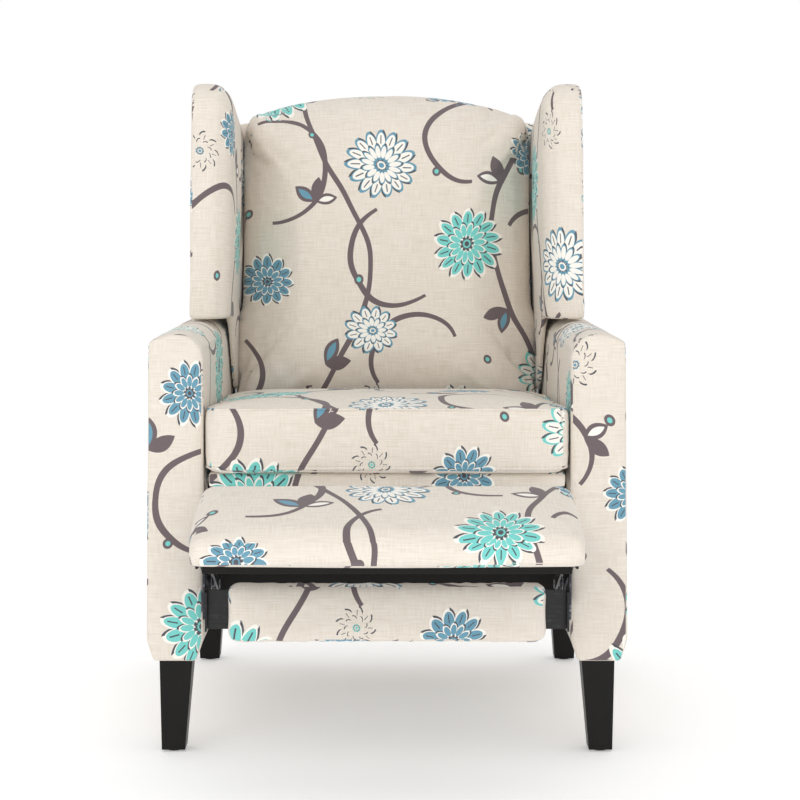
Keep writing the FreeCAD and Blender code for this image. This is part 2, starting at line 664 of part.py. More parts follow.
def make_base_rails():
    rail_x = s.fit_gap - arm_inner
    for row, y in (("front", s.front_rail_set), ("rear", s.rear_rail_set)):
        rail = box(
            f"{row}_cross_rail", "seat_well - 2 * fit_gap", "rail_depth", "rail_height",
            spot(CHAIR, rail_x, y, s.rail_foot),
        )
        node(f"{row}_cross_rail", rail)
    panel = box(
        "rear_base_panel", "seat_well - 2 * fit_gap - 2 * facing_lip", "rear_panel_depth",
        "rear_panel_top - arm_underside",
        spot(CHAIR, rail_x + s.facing_lip, s.rear_rail_set + s.rail_depth + s.fit_gap, s.arm_underside),
    )
    node("rear_base_panel", panel)

    angles = []
    rise = s.rail_foot + (s.rail_height - s.angle_height) / 2
    for row, y, way in (
        ("front", s.front_rail_set + s.rail_depth, 1), ("rear", s.rear_rail_set, -1),
    ):
        near_y = y if way > 0 else y - s.angle_leg
        on_arm = box(
            f"{row}_angle_arm", "steel", "angle_leg", "angle_height", spot(CHAIR, plate_face, near_y, rise))
        rail_y = y if way > 0 else y - s.steel
        on_rail = box(
            f"{row}_angle_rail", "angle_leg", "steel", "angle_height",
            spot(CHAIR, plate_face + s.steel - s.angle_leg, rail_y, rise),
        )
        angles.append(both_sides(f"{row}_angles", fuse(f"{row}_angle", on_arm, on_rail)))
    node("rail_angles", group("rail_angles", *angles))


# Plates, runners and pivots on the inner faces of the arms

def layer(number):
    """Inner face of a layer of links, counted inwards from the plate at 0."""
    return plate_face - number * s.link_pitch


def flat_sided(radius, length, base):
    """Disc along X with flat sides, as wide across its corners as a round one."""
    corners = [base + Vector(0, *polar(radius, 30 * number)[:2]) for number in range(13)]
    return Part.Face(Part.makePolygon(corners)).extrude(Vector(length, 0, 0))


def rivet(name, point, parent, child):
    """Pivot pin held in the parent's layer, with a collar between the layers and a head past the child."""
    pieces = []
    low, high = min(layer(parent), layer(child)), max(layer(parent), layer(child)) + s.steel
    if child > parent:
        low -= s.pin_play + s.pin_head
        high += 0 if parent == 0 else s.pin_head
        over = layer(child) + s.steel + s.pin_play
        discs = [(low, s.pin_head), (over, None), (high - s.pin_head, s.pin_head)]
        collar = layer(parent) - discs[1][0]
    else:
        low -= s.pin_head
        high += s.pin_play + s.pin_head
        discs = [(low, s.pin_head), (layer(parent) + s.steel, None), (high - s.pin_head, s.pin_head)]
        collar = layer(child) - s.pin_play - discs[1][0]
    if parent == 0:
        discs.pop()
    centre = Vector(0, -point.x, point.y)
    pieces.append(flat_sided(s.pin_radius, high - low, centre + Vector(low, 0, 0)))
    for start, thickness in discs:
        pieces.append(flat_sided(s.pin_head_radius, thickness or collar, centre + Vector(start, 0, 0)))
    return solid(name, pieces[0].multiFuse(pieces[1:]).removeSplitter(), CHAIR)


def make_mechanism_plates():
    front, top = s.plate_front, s.runner_height - 1
    body = plate("mechanism_plate_left", [
        ("plate_front", "runner_height - 1"),
        ("plate_front", "runner_height - 1 - plate_height"),
        ("plate_front + plate_length / 3", "runner_height - 1 - plate_height"),
        ("plate_front + plate_length", "runner_height - 1 - plate_tail"),
        ("plate_front + plate_length", "runner_height - 1"),
    ], "steel", spot(CHAIR, plate_face, 0, 0))
    drill(body, "mechanism_plate_holes", [
        (-point.x, point.y, "pin_radius + fit_gap / 6") for point in (pivot, guide_pivot)])
    node("mechanism_plate_left", body)
    node("mechanism_plate_right", mirrored("mechanism_plate_right", body))
    heads = []
    for number, share in enumerate((0.5, 0.85)):
        spot_y = front + s.plate_length * share
        heads.append(bar(
            f"plate_bolt_{number}", "plate_bolt_radius", "plate_bolt_head",
            spot(CHAIR, plate_face - s.plate_bolt_head, spot_y, top - s.plate_tail / 2, ALONG_X)))
    node("plate_bolts", both_sides("plate_bolts", group("plate_bolts_left", *heads)))
    node("link_pivot_pins", both_sides("link_pivot_pins", group(
        "link_pivot_pins_left",
        rivet("pivot_pin", pivot, 0, 3),
        rivet("guide_pin", guide_pivot, 0, 1))))


def make_runners():
    ledge = box(
        "runner_ledge_left", "runner_ledge", "runner_length", "steel",
        spot(CHAIR, plate_face + s.steel - s.runner_ledge, s.runner_start, s.runner_height),
    )
    web = box(
        "runner_web_left", "steel", "runner_length", "runner_web + steel",
        spot(CHAIR, plate_face, s.runner_start, s.runner_height),
    )
    node("seat_runners", both_sides("seat_runners", fuse("seat_runner", ledge, web)))


def make_hinge_plates():
    centre_y, centre_z = s.hinge_set, s.hinge_height
    plain = box(
        "hinge_plate", "steel", "hinge_plate_width", "hinge_plate_height",
        spot(CHAIR, plate_face, centre_y - s.hinge_plate_width * 0.55, centre_z - s.hinge_plate_height / 2),
    )
    node("back_hinge_plates", both_sides("back_hinge_plates", plain))
    bracket_x = s.post_inset + s.fit_gap
    shoulder_x = bracket_x + s.steel + s.fit_gap
    shoulder = bar(
        "hinge_shoulder", "hinge_pin_radius * 1.5", f"seat_well / 2 - fit_gap - steel - {shoulder_x}",
        spot(CHAIR, shoulder_x, centre_y, centre_z, ALONG_X))
    shank = bar(
        "hinge_shank", "hinge_pin_radius", "2 * steel",
        spot(CHAIR, shoulder_x - s.steel - s.fit_gap / 2, centre_y, centre_z, ALONG_X))
    node("back_hinge_pins", both_sides("back_hinge_pins", fuse("hinge_pin", shoulder, shank)))


# Seat frame, springs, deck and cushion

seat_base = s.runner_height + s.steel + s.fit_gap
seat_rail_z = seat_base + s.seat_glide_depth
seat_top = seat_rail_z + s.seat_rail_height
seat_rail_x = plate_face - 2 * s.fit_gap - s.steel - s.seat_rail_width
deck_z = seat_top + s.fit_gap
cushion_z = deck_z + s.deck_height + s.fit_gap


def make_seat_frame():
    side = box(
        "seat_side_rail", "seat_rail_width", "seat_frame_length", "seat_rail_height",
        spot(CHAIR, seat_rail_x, s.seat_rail_start, seat_rail_z),
    )
    node("seat_side_rails", both_sides("seat_side_rails", side))
    cross_z = seat_top - s.seat_cross_height
    rear_y = s.seat_rail_start + s.seat_frame_length - s.seat_cross_depth
    for row, y in (("front", s.seat_rail_start), ("rear", rear_y)):
        rail = box(
            f"seat_{row}_rail", "2 * (seat_well / 2 - 3 * fit_gap - 2 * steel - seat_rail_width)",
            "seat_cross_depth", "seat_cross_height", spot(CHAIR, -seat_rail_x, y, cross_z),
        )
        node(f"seat_{row}_rail", rail)
    strips = []
    for number, share in enumerate((0.06, 0.86)):
        strips.append(box(
            f"seat_glide_{number}", "seat_rail_width / 2", "seat_rail_width", "seat_glide_depth",
            spot(CHAIR, seat_rail_x + s.seat_rail_width * 0.4,
                 s.seat_rail_start + s.seat_frame_length * share, seat_base)))
    node("seat_glides", both_sides("seat_glides", group("seat_glides_left", *strips)))


def spring_wire(length):
    """Sinuous wire seen from above: flat-sided half turns to alternate sides, joined by straight bars."""
    bends = int(length // (2 * s.spring_bend_radius))
    lead = (length - 2 * s.spring_bend_radius * bends) / 2
    half, wire = s.spring_bar / 2, s.spring_wire
    down = Vector(0, 0, -wire / 2)
    pieces = [Part.makeBox(wire, lead, wire, down + Vector(half - wire / 2, 0, 0))]
    at = lead
    for number in range(bends):
        side = 1 if number % 2 == 0 else -1
        if number:
            pieces.append(Part.makeBox(s.spring_bar, wire, wire, down + Vector(-half, at - wire / 2, 0)))
        centre = down + Vector(side * half, at + s.spring_bend_radius, 0)
        sweep = [-90 + 180 * step / BEND_SIDES for step in range(BEND_SIDES + 1)]
        outer = [polar(s.spring_bend_radius + wire / 2, angle) for angle in sweep]
        inner = [polar(s.spring_bend_radius - wire / 2, angle) for angle in reversed(sweep)]
        corners = [centre + Vector(side * point.x, point.y, 0) for point in (*outer, *inner, outer[0])]
        pieces.append(Part.Face(Part.makePolygon(corners)).extrude(Vector(0, 0, wire)))
        at += 2 * s.spring_bend_radius
    pieces.append(Part.makeBox(wire, lead, wire, down + Vector(side * half - wire / 2, at, 0)))
    return pieces[0].multiFuse(pieces[1:]).removeSplitter()


def make_springs():
    first_y = s.seat_rail_start + s.seat_cross_depth
    inside = s.seat_frame_length - 2 * s.seat_cross_depth
    offset = s.clip_depth + s.fit_gap
    level = seat_top - s.spring_wire / 2 - s.steel
    one = spring_wire(inside - 2 * offset)
    springs, clips = [], []
    for number in range(4):
        x = (number - 1.5) * s.spring_pitch
        springs.append(solid(f"seat_spring_{number}", one, spot(CHAIR, x, first_y + offset, level)))
        for row, y in (("front", first_y), ("rear", first_y + inside - s.clip_depth)):
            clips.append(box(
                f"spring_clip_{row}_{number}", "2 * spring_bar", "clip_depth", "2 * spring_wire",
                spot(CHAIR, x - s.spring_bar, y, level - s.spring_wire)))
    node("seat_springs", group("seat_springs", *springs))
    node("spring_clips", group("spring_clips", *clips))


def cushion_ring(level, inset, draw, fall=0):
    half = s.cushion_width / 2 - inset
    low = -s.cushion_front + inset
    high = s.cushion_length - s.cushion_front - inset
    corner = max(s.cushion_corner - inset / 3, s.cushion_corner / 4)
    slope = fall / s.cushion_length
    return ring(half, low, high, corner, draw, -draw,
                lambda x, y: Vector(x, y, level - slope * (y + s.cushion_front)))


def make_seat_soft():
    deck = plate("seat_deck", [
        ("0", "0"), ("deck_length", "0"), ("deck_length", "deck_height"), ("0", "deck_height"),
    ], "deck_width", spot(CHAIR, -s.deck_width / 2, s.deck_reach, deck_z))
    fillet(deck, deck.Tip, "seat_deck_round", "deck_round", lambda middle, way: (
        abs(way.x) > 0.9 and near(middle.y, 0) and near(middle.z, s.deck_height)))
    node("seat_deck", deck)

    seam = cushion_z + s.cushion_boxing
    shape = loft([
        cushion_ring(cushion_z, s.cushion_draw * 2, s.cushion_draw),
        cushion_ring(cushion_z + s.cushion_draw * 2, 0, s.cushion_draw),
        cushion_ring(seam, 0, s.cushion_draw, s.cushion_fall),
        cushion_ring(seam + s.cushion_crown * 0.5, s.cushion_width * 0.038, s.cushion_draw, s.cushion_fall),
        cushion_ring(seam + s.cushion_crown * 0.85, s.cushion_width * 0.126, s.cushion_draw / 2, s.cushion_fall),
        cushion_ring(seam + s.cushion_crown, s.cushion_width * 0.248, s.cushion_draw / 4, s.cushion_fall),
    ])
    node("seat_cushion", solid("seat_cushion", shape, CHAIR))


# Back: frame, webbing, padding, outside back and wings, drawn along the back from its hinge

def wing_foot(y):
    """Height along the back of a level line just over the arm, at this distance behind the posts."""
    lean = math.radians(s.back_angle)
    rise = s.arm_height + s.wing_gap - s.hinge_height
    return (rise + (y + s.hinge_cover) * math.sin(lean)) / math.cos(lean)


def make_back_frame():
    post_x = s.post_inset - s.post_width
    post = box(
        "back_post_left", "post_width", "post_depth", "post_top - post_foot",
        spot(BACK, post_x, -s.post_depth, s.post_foot),
    )
    node("back_post_left", post)
    node("back_post_right", mirrored("back_post_right", post))
    for row, z in (
        ("bottom", s.post_foot), ("middle", s.back_middle_rail), ("top", s.post_top - s.back_rail_height),
    ):
        rail = box(
            f"back_{row}_rail", "2 * (post_inset - post_width)", "post_depth", "back_rail_height",
            spot(BACK, -post_x, -s.post_depth, z),
        )
        node(f"back_{row}_rail", rail)
    count = int((s.post_top - s.back_rail_height - s.webbing_first) // s.webbing_pitch) + 1
    straps = [box(
        f"back_strap_{number}", "2 * post_inset - 2 * facing_lip", "webbing_depth", "webbing_width",
        spot(BACK, s.facing_lip - s.post_inset, -s.post_depth - s.webbing_depth,
             s.webbing_first + number * s.webbing_pitch),
    ) for number in range(count)]
    node("back_webbing", group("back_webbing", *straps))

    flat = box(
        "back_bracket", "steel", "bracket_width", "bracket_height",
        spot(BACK, s.post_inset, -s.bracket_width - s.facing_lip, -s.bracket_rise),
    )
    hole = bar(
        "back_bracket_hole", "hinge_pin_radius + pin_clearance", "4 * steel",
        spot(HINGE, s.post_inset - s.steel, 0, 0, ALONG_X),
    )
    node("back_brackets", both_sides("back_brackets", cut("back_bracket_drilled", flat, hole)))


def back_ring(depth, inset, draw):
    half = s.back_cushion_width / 2 - inset
    corner = max(s.back_corner - inset / 3, s.back_corner / 4)
    rise = s.back_arch_top - s.back_side_top
    return ring(half, s.back_cushion_foot + inset, s.back_side_top - inset, corner, draw, rise,
                lambda x, z: Vector(x, -depth, z))


def make_back_soft():
    rear = s.post_depth + s.webbing_depth + s.fit_gap
    front = rear + s.back_cushion_depth
    shape = loft([
        back_ring(rear, s.back_cushion_width * 0.02, 3),
        back_ring(rear + s.back_cushion_depth * 0.14, 0, 3),
        back_ring(rear + s.back_cushion_depth * 0.6, 0, 3),
        back_ring(front - s.back_cushion_depth * 0.16, s.back_cushion_width * 0.032, 3),
        back_ring(front - s.back_cushion_depth * 0.05, s.back_cushion_width * 0.112, 2),
        back_ring(front, s.back_cushion_width * 0.24, 1),
    ])
    # The padding goes over the top rail to the outside back.
    side, foot = s.back_cushion_width / 2 - 12, s.post_top + s.fit_gap
    shoulder = s.back_side_top - 14
    over = [Vector(*point) for point in (
        (side, 0, foot), (side, 0, shoulder), (-side, 0, shoulder), (-side, 0, foot))]
    outline = [
        Part.LineSegment(over[0], over[1]).toShape(),
        Part.Arc(over[1], Vector(0, 0, shoulder + s.back_arch_top - s.back_side_top), over[2]).toShape(),
        Part.LineSegment(over[2], over[3]).toShape(),
        Part.LineSegment(over[3], over[0]).toShape(),
    ]
    wrap = Part.Face(Part.Wire(outline)).extrude(Vector(0, -rear - 6, 0))
    node("back_cushion", solid("back_cushion", shape.fuse(wrap), BACK))

    half_low, half_high = s.shell_low_width / 2, s.wing_start + s.wing_width - 1
    notch = wing_foot(s.shell_depth)
    corners = [
        Vector(-half_low, 0, s.post_foot), Vector(half_low, 0, s.post_foot), Vector(half_low, 0, notch),
        Vector(half_high, 0, notch), Vector(half_high, 0, s.shell_shoulder),
    ]
    outline = [Part.LineSegment(corners[number], corners[number + 1]).toShape() for number in range(4)]
    left_high, left_notch = Vector(-half_high, 0, s.shell_shoulder), Vector(-half_high, 0, notch)
    arch = Part.Arc(corners[4], Vector(0, 0, s.shell_shoulder + s.shell_arch), left_high)
    outline.append(arch.toShape())
    outline.append(Part.LineSegment(left_high, left_notch).toShape())
    outline.append(Part.LineSegment(left_notch, Vector(-half_low, 0, notch)).toShape())
    outline.append(Part.LineSegment(Vector(-half_low, 0, notch), corners[0]).toShape())
    shell = Part.Face(Part.Wire(outline)).extrude(Vector(0, s.shell_depth, 0))
    node("outside_back", solid("outside_back", shell, spot(BACK, 0, s.fit_gap, 0)))


def make_wings():
    rear_foot, front_foot = wing_foot(0), wing_foot(-s.wing_foot_reach)
    body = new_body("wing_body")
    sketch = new_sketch(body, "YZ_Plane", "wing_outline")
    polygon(sketch, [
        ("-wing_foot_reach", f"{front_foot}"),
        ("0", f"{rear_foot}"),
        ("0", "wing_rear_top"),
        ("-wing_top_reach", "wing_front_top"),
    ])
    base = pad(body, sketch, "wing_pad", "wing_width")
    nose = fillet(body, base, "wing_nose", "wing_nose", lambda middle, way: (
        abs(way.x) > 0.9 and near(middle.y, -s.wing_top_reach) and near(middle.z, s.wing_front_top)))

    def on_front_or_top(middle):
        return middle.y < -s.wing_foot_reach + 6 or middle.z > s.wing_rear_top - 6

    inner = fillet(body, nose, "wing_inner", "wing_round", lambda middle, way: (
        abs(way.x) < 0.1 and near(middle.x, 0) and on_front_or_top(middle)))
    fillet(body, inner, "wing_outer", "wing_corner", lambda middle, way: (
        abs(way.x) < 0.1 and near(middle.x, s.wing_width) and on_front_or_top(middle)))
    body.Placement = spot(BACK, s.wing_start, 0, 0)

    reach = s.wing_foot_reach - s.wing_board_margin
    foot = rear_foot + s.wing_board_margin / 4
    room = box(
        "wing_board_room", "wing_board_depth + 2 * fit_gap", "wing_foot_reach - wing_board_margin + fit_gap",
        f"wing_rear_top - wing_board_margin - {foot} + 2 * fit_gap",
        spot(BACK, s.wing_start + s.wing_board_inset - s.fit_gap, -reach - s.fit_gap, foot - s.fit_gap),
    )
    wing = node("wing_left", cut("wing_left", body, room))
    node("wing_right", mirrored("wing_right", wing))
    board = box(
        "wing_board", "wing_board_depth", "wing_foot_reach - wing_board_margin",
        f"wing_rear_top - wing_board_margin - {foot}",
        spot(BACK, s.wing_start + s.wing_board_inset, -reach, foot),
    )
    node("wing_boards", both_sides("wing_boards", board))


# Links of the footrest

def slot(body, name, length, width, start, degrees):
    """Bar with round ends, from start along this angle; length and width are aliases."""
    sketch = new_sketch(body, "YZ_Plane", name)
    sketch.AttachmentOffset = Placement(Vector(start[0], start[1], 0), Rotation(Vector(0, 0, 1), degrees))
    reach, half = getattr(s, length), getattr(s, width) / 2
    normal = Vector(0, 0, 1)
    sketch.addGeometry(Part.ArcOfCircle(
        Part.Circle(Vector(0, 0, 0), normal, half), math.pi / 2, 3 * math.pi / 2), False)
    sketch.addGeometry(Part.LineSegment(Vector(0, -half, 0), Vector(reach, -half, 0)), False)
    sketch.addGeometry(Part.ArcOfCircle(
        Part.Circle(Vector(reach, 0, 0), normal, half), -math.pi / 2, math.pi / 2), False)
    sketch.addGeometry(Part.LineSegment(Vector(reach, half, 0), Vector(0, half, 0)), False)
    sketch.addConstraint([
        Sketcher.Constraint("Coincident", 0, 3, -1, 1),
        Sketcher.Constraint("Tangent", 0, 2, 1, 1),
        Sketcher.Constraint("Tangent", 1, 2, 2, 1),
        Sketcher.Constraint("Tangent", 2, 2, 3, 1),
        Sketcher.Constraint("Tangent", 3, 2, 0, 1),
        Sketcher.Constraint("Horizontal", 1),
    ])
    index = sketch.addConstraint(Sketcher.Constraint("Radius", 0, half))
    sketch.setExpression(f"Constraints[{index}]", bound(f"{width} / 2"))
    index = sketch.addConstraint(Sketcher.Constraint("DistanceX", 0, 3, 2, 3, reach))
    sketch.setExpression(f"Constraints[{index}]", bound(length))
    return pad(body, sketch, f"{name}_pad", "steel")


def flat_link(name, level, frame, arms, holes):
    """Link of one or more slots in a layer of the linkage."""
    body = new_body(name)
    for number, (length, width, start, degrees) in enumerate(arms):
        slot(body, f"{name}_arm_{number}", length, width, start, degrees)
    drill(body, f"{name}_holes", holes)
    body.Placement = spot(frame, layer(level), 0, 0)
    return body


RUNNING = "pin_radius + pin_clearance"
FIXED = "pin_radius + fit_gap / 6"
LOOSE = "pin_radius + loop_clearance"


def make_rear_links():
    spur_at = (s.rear_link_length - s.spur_back, s.spur_drop)
    link = flat_link("rear_link_left", 3, side_frame(pivot, rear_angles[0]), [
        ("rear_link_length", "link_width", (0, 0), 0),
        ("spur_length", "slim_link_width", (s.rear_link_length, 0), math.degrees(
            math.atan2(s.spur_drop, -s.spur_back))),
    ], [(0, 0, RUNNING), (s.rear_link_length, 0, FIXED), (*spur_at, FIXED)])
    node("rear_link_left", link)
    node("rear_link_right", mirrored("rear_link_right", link))
    node("rear_link_rivets", both_sides("rear_link_rivets", group(
        "rear_link_rivets_left",
        rivet("elbow_rivet", opened.elbow, 3, 2),
        rivet("spur_rivet", opened.spur, 3, 4))))
    tie = pivot + polar(s.tie_reach, rear_angles[0])
    node("link_cross_tube", bar(
        "link_cross_tube", "tie_radius", "seat_well - 2 * (fit_gap + steel + 3 * link_pitch)",
        spot(CHAIR, -layer(3), -tie.x, tie.y, ALONG_X)))


def make_front_links():
    frame = side_frame(opened.elbow, front_angles[0])
    link = flat_link("front_link_left", 2, frame, [
        ("front_link_length", "link_width", (0, 0), 0),
        ("tail_length", "slim_link_width", (0, 0), math.degrees(math.atan2(s.tail_drop, s.tail_back))),
        ("ear_length", "link_width", (s.ear_reach, 0), 90 + front_angles[0]),
    ], [(0, 0, RUNNING), (s.front_link_length, 0, FIXED), (s.tail_back, s.tail_drop, FIXED)])
    node("front_link_left", link)
    node("front_link_right", mirrored("front_link_right", link))
    node("front_link_rivets", both_sides("front_link_rivets", group(
        "front_link_rivets_left",
        rivet("knuckle_rivet", opened.knuckle, 2, 3),
        rivet("tail_rivet", opened.tail, 2, 1))))

    back_y = -s.panel_reach
    ear = opened.elbow + polar(s.ear_reach, front_angles[0])
    bracket_z = s.panel_foot + s.panel_height / 6
    on_link = box(
        "panel_bracket_link", "steel", "link_width + steel", "panel_height * 2 / 3",
        spot(CHAIR, layer(2) - s.steel, -ear.x - s.link_width / 2, bracket_z))
    board_front = back_y - s.board_depth
    reach_in = s.panel_width / 2 - 36
    on_board = box(
        "panel_bracket_board", f"seat_well / 2 - fit_gap - 2 * steel - 2 * link_pitch - {reach_in}", "steel",
        "panel_height * 2 / 3", spot(CHAIR, reach_in, back_y, bracket_z))
    node("lower_panel_brackets", both_sides("lower_panel_brackets", fuse(
        "lower_panel_bracket", on_link, on_board)))
    node("lower_panel_board", box(
        "lower_panel_board", "panel_width - 2 * board_depth", "board_depth", "panel_height - board_depth",
        spot(CHAIR, s.board_depth - s.panel_width / 2, board_front, s.panel_foot + s.board_depth / 2)))

    def panel_ring(depth, inset, draw):
        return ring(
            s.panel_width / 2 - inset, s.panel_foot + inset, s.panel_foot + s.panel_height - inset,
            s.panel_corner - inset / 2, draw, -draw, lambda x, z: Vector(x, board_front - depth, z))

    shape = loft([
        panel_ring(s.fit_gap, 3, 1.5), panel_ring(6, 0, 1.5),
        panel_ring(s.panel_pad * 0.6, 1, 1), panel_ring(s.panel_pad * 0.88, 8, 1),
        panel_ring(s.panel_pad, 22, 0.5),
    ])
    node("lower_panel_pad", solid("lower_panel_pad", shape, CHAIR))


def make_control_links():
    guide = flat_link("guide_link", 1, side_frame(guide_pivot, guide_angles[0]), [
        ("guide_link_length", "link_width", (0, 0), 0),
    ], [(0, 0, RUNNING), (guide_length, 0, LOOSE)])
    node("guide_links", both_sides("guide_links", guide))
    control = flat_link("control_link", 4, side_frame(opened.spur, control_angles[0]), [
        ("control_link_length", "slim_link_width", (0, 0), 0),
    ], [(0, 0, RUNNING), (control_length, 0, LOOSE)])
    node("control_links", both_sides("control_links", control))


def make_footrest():
    board_top = s.pad_depth + s.fit_gap
    under = board_top + s.board_depth
    node("footrest_board", box(
        "footrest_board", "board_width", "board_length", "board_depth",
        spot(FOOTREST, -s.board_width / 2, s.board_margin, board_top)))

    bracket_end = s.board_margin + s.board_length * 0.82
    body = new_body("footrest_bracket")
    sketch = new_sketch(body, "YZ_Plane", "footrest_bracket_outline")
    heel_y, heel_z = s.knuckle_set - s.heel_back, s.knuckle_drop + s.heel_drop
    edge = s.link_width / 2 + 1
    polygon(sketch, [
        ("board_margin * 2", f"{under}"),
        (f"{bracket_end}", f"{under}"),
        (f"{bracket_end}", f"{under} + steel * 2"),
        ("knuckle_set + link_width / 2", "knuckle_drop + link_width / 2"),
        (f"{heel_y} + {edge} / 2", f"{heel_z} + {edge}"),
        (f"{heel_y} - {edge} / 2", f"{heel_z} + {edge}"),
        (f"{heel_y} - {edge}", f"{heel_z}"),
        ("board_margin * 2", f"{under} + steel * 2"),
    ])
    pad(body, sketch, "footrest_bracket_pad", "steel")
    drill(body, "footrest_bracket_holes", [
        (s.knuckle_set, s.knuckle_drop, RUNNING), (heel_y, heel_z, FIXED)])
    body.Placement = spot(FOOTREST, layer(3), 0, 0)
    flange = box(
        "footrest_flange", "10 * steel", f"{bracket_end} - board_margin * 2", "steel",
        spot(FOOTREST, layer(3) - 10 * s.steel, 2 * s.board_margin, under))
    node("footrest_brackets", both_sides("footrest_brackets", fuse("footrest_angle", body, flange)))
    node("footrest_rivets", both_sides("footrest_rivets", rivet("heel_rivet", opened.heel, 3, 4)))

    def pad_ring(x, inset):
        length, depth, nose = s.pad_length - inset, s.pad_depth, s.pad_depth / 2 - inset / 2
        points = [
            ((inset, 9 + inset), (inset + 3, 4 + inset), (inset + 10, 1 + inset)),
            ((inset + 10, 1 + inset), (length / 2, inset - s.pad_crown), (length - nose, depth - 2 * nose)),
            ((length - nose, depth - 2 * nose), (length, depth - nose), (length - nose, depth)),
        ]
        edges_of_ring = [Part.Arc(*(Vector(x, y, z) for y, z in bend)).toShape() for bend in points]
        low_front, low_rear = Vector(x, length - nose, depth), Vector(x, inset, depth)
        edges_of_ring.append(Part.LineSegment(low_front, low_rear).toShape())
        edges_of_ring.append(Part.LineSegment(low_rear, Vector(x, inset, 9 + inset)).toShape())
        return Part.Wire(edges_of_ring)

    half = s.pad_width / 2
    shape = Part.makeLoft([pad_ring(x, inset) for x, inset in (
        (-half, 9), (-half + 5, 3), (-half + 14, 0), (half - 14, 0), (half - 5, 3), (half, 9))], True, True)
    node("footrest_pad", solid("footrest_pad", shape, FOOTREST))


make_arms()
make_legs()
make_base_rails()
make_mechanism_plates()
make_runners()
make_hinge_plates()
make_seat_frame()
make_springs()
make_seat_soft()
make_back_frame()
make_back_soft()
make_wings()
make_rear_links()
make_front_links()
make_control_links()
make_footrest()

doc.recompute()
for thing in doc.Objects:
    if {"Invalid", "Error"} & set(thing.State):
        raise RuntimeError(f"{thing.Name} failed: {thing.State}")
os.makedirs("parts", exist_ok=True)
whole = Part.Compound([thing.Shape for thing in nodes.values()]).BoundBox
for label, thing in nodes.items():
    if thing.Shape.isNull() or not thing.Shape.isValid():
        raise RuntimeError(f"{label} has no valid shape")
    thing.Shape.exportStep(f"parts/{label}.step")
print(len(nodes), "nodes, box", [round(value, 2) for value in (
    whole.XMin, whole.XMax, whole.YMin, whole.YMax, whole.ZMin, whole.ZMax)])
for name, point in (
    ("pivot", pivot), ("elbow", opened.elbow), ("knuckle", opened.knuckle), ("guide pivot", guide_pivot),
    ("spur", opened.spur),
):
    print(name, "y", round(-point.x - s.origin_depth, 3), "z", round(point.y, 3))
for name, angles in (
    ("rear", rear_angles), ("front", front_angles), ("footrest", slopes), ("guide", guide_angles),
    ("control", control_angles),
):
    print(name, "link turns", round(angles[1] - angles[0], 4), "degrees from", round(angles[0], 3))
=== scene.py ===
"""Wingback push-back recliner with its footrest out: upholstery, show wood and steelwork.

The printed linen is cut in panels as an upholsterer cuts it, so each piece carries its own map in metres.
"""

import json
import logging
import math
from dataclasses import dataclass, field, replace
from enum import Enum
from functools import reduce
from typing import Callable, Sequence

import bmesh
import bpy
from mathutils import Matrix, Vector, noise
from mathutils.bvhtree import BVHTree

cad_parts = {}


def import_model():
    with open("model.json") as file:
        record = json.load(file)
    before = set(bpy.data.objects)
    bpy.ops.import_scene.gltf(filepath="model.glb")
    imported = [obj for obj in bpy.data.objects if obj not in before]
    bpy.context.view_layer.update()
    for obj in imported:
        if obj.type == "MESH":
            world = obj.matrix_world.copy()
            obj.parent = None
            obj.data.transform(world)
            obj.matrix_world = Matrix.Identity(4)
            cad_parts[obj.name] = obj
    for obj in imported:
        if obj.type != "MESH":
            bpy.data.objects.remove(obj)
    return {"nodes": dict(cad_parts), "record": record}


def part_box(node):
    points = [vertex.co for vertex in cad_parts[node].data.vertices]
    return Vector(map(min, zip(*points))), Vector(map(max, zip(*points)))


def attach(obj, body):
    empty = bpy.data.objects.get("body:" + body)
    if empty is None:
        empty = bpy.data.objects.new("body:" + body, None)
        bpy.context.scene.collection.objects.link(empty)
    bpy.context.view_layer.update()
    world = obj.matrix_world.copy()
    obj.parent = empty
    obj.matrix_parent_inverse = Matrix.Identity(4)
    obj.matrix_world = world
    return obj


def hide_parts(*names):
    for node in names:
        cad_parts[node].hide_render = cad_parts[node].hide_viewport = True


LOG = logging.getLogger("recliner")
CLOTH_MAP = "cloth"
RIGHT, LEFT = -1.0, 1.0
MERGE = 0.00002
X, Y, Z = (1, 0, 0), (0, 1, 0), (0, 0, 1)
MINUS_X, MINUS_Y, MINUS_Z = (-1, 0, 0), (0, -1, 0), (0, 0, -1)


def linear(code: str) -> tuple[float, float, float, float]:
    """Turn an sRGB hex value into linear colour.

    Args:
        code: Six hex digits, with or without a leading hash.

    Returns:
        Linear red, green and blue, with an alpha of one.
    """
    digits = code.lstrip("#")
    channels = [int(digits[start:start + 2], 16) / 255 for start in (0, 2, 4)]
    red, green, blue = (c / 12.92 if c <= 0.04045 else ((c + 0.055) / 1.055) ** 2.4 for c in channels)
    return red, green, blue, 1.0


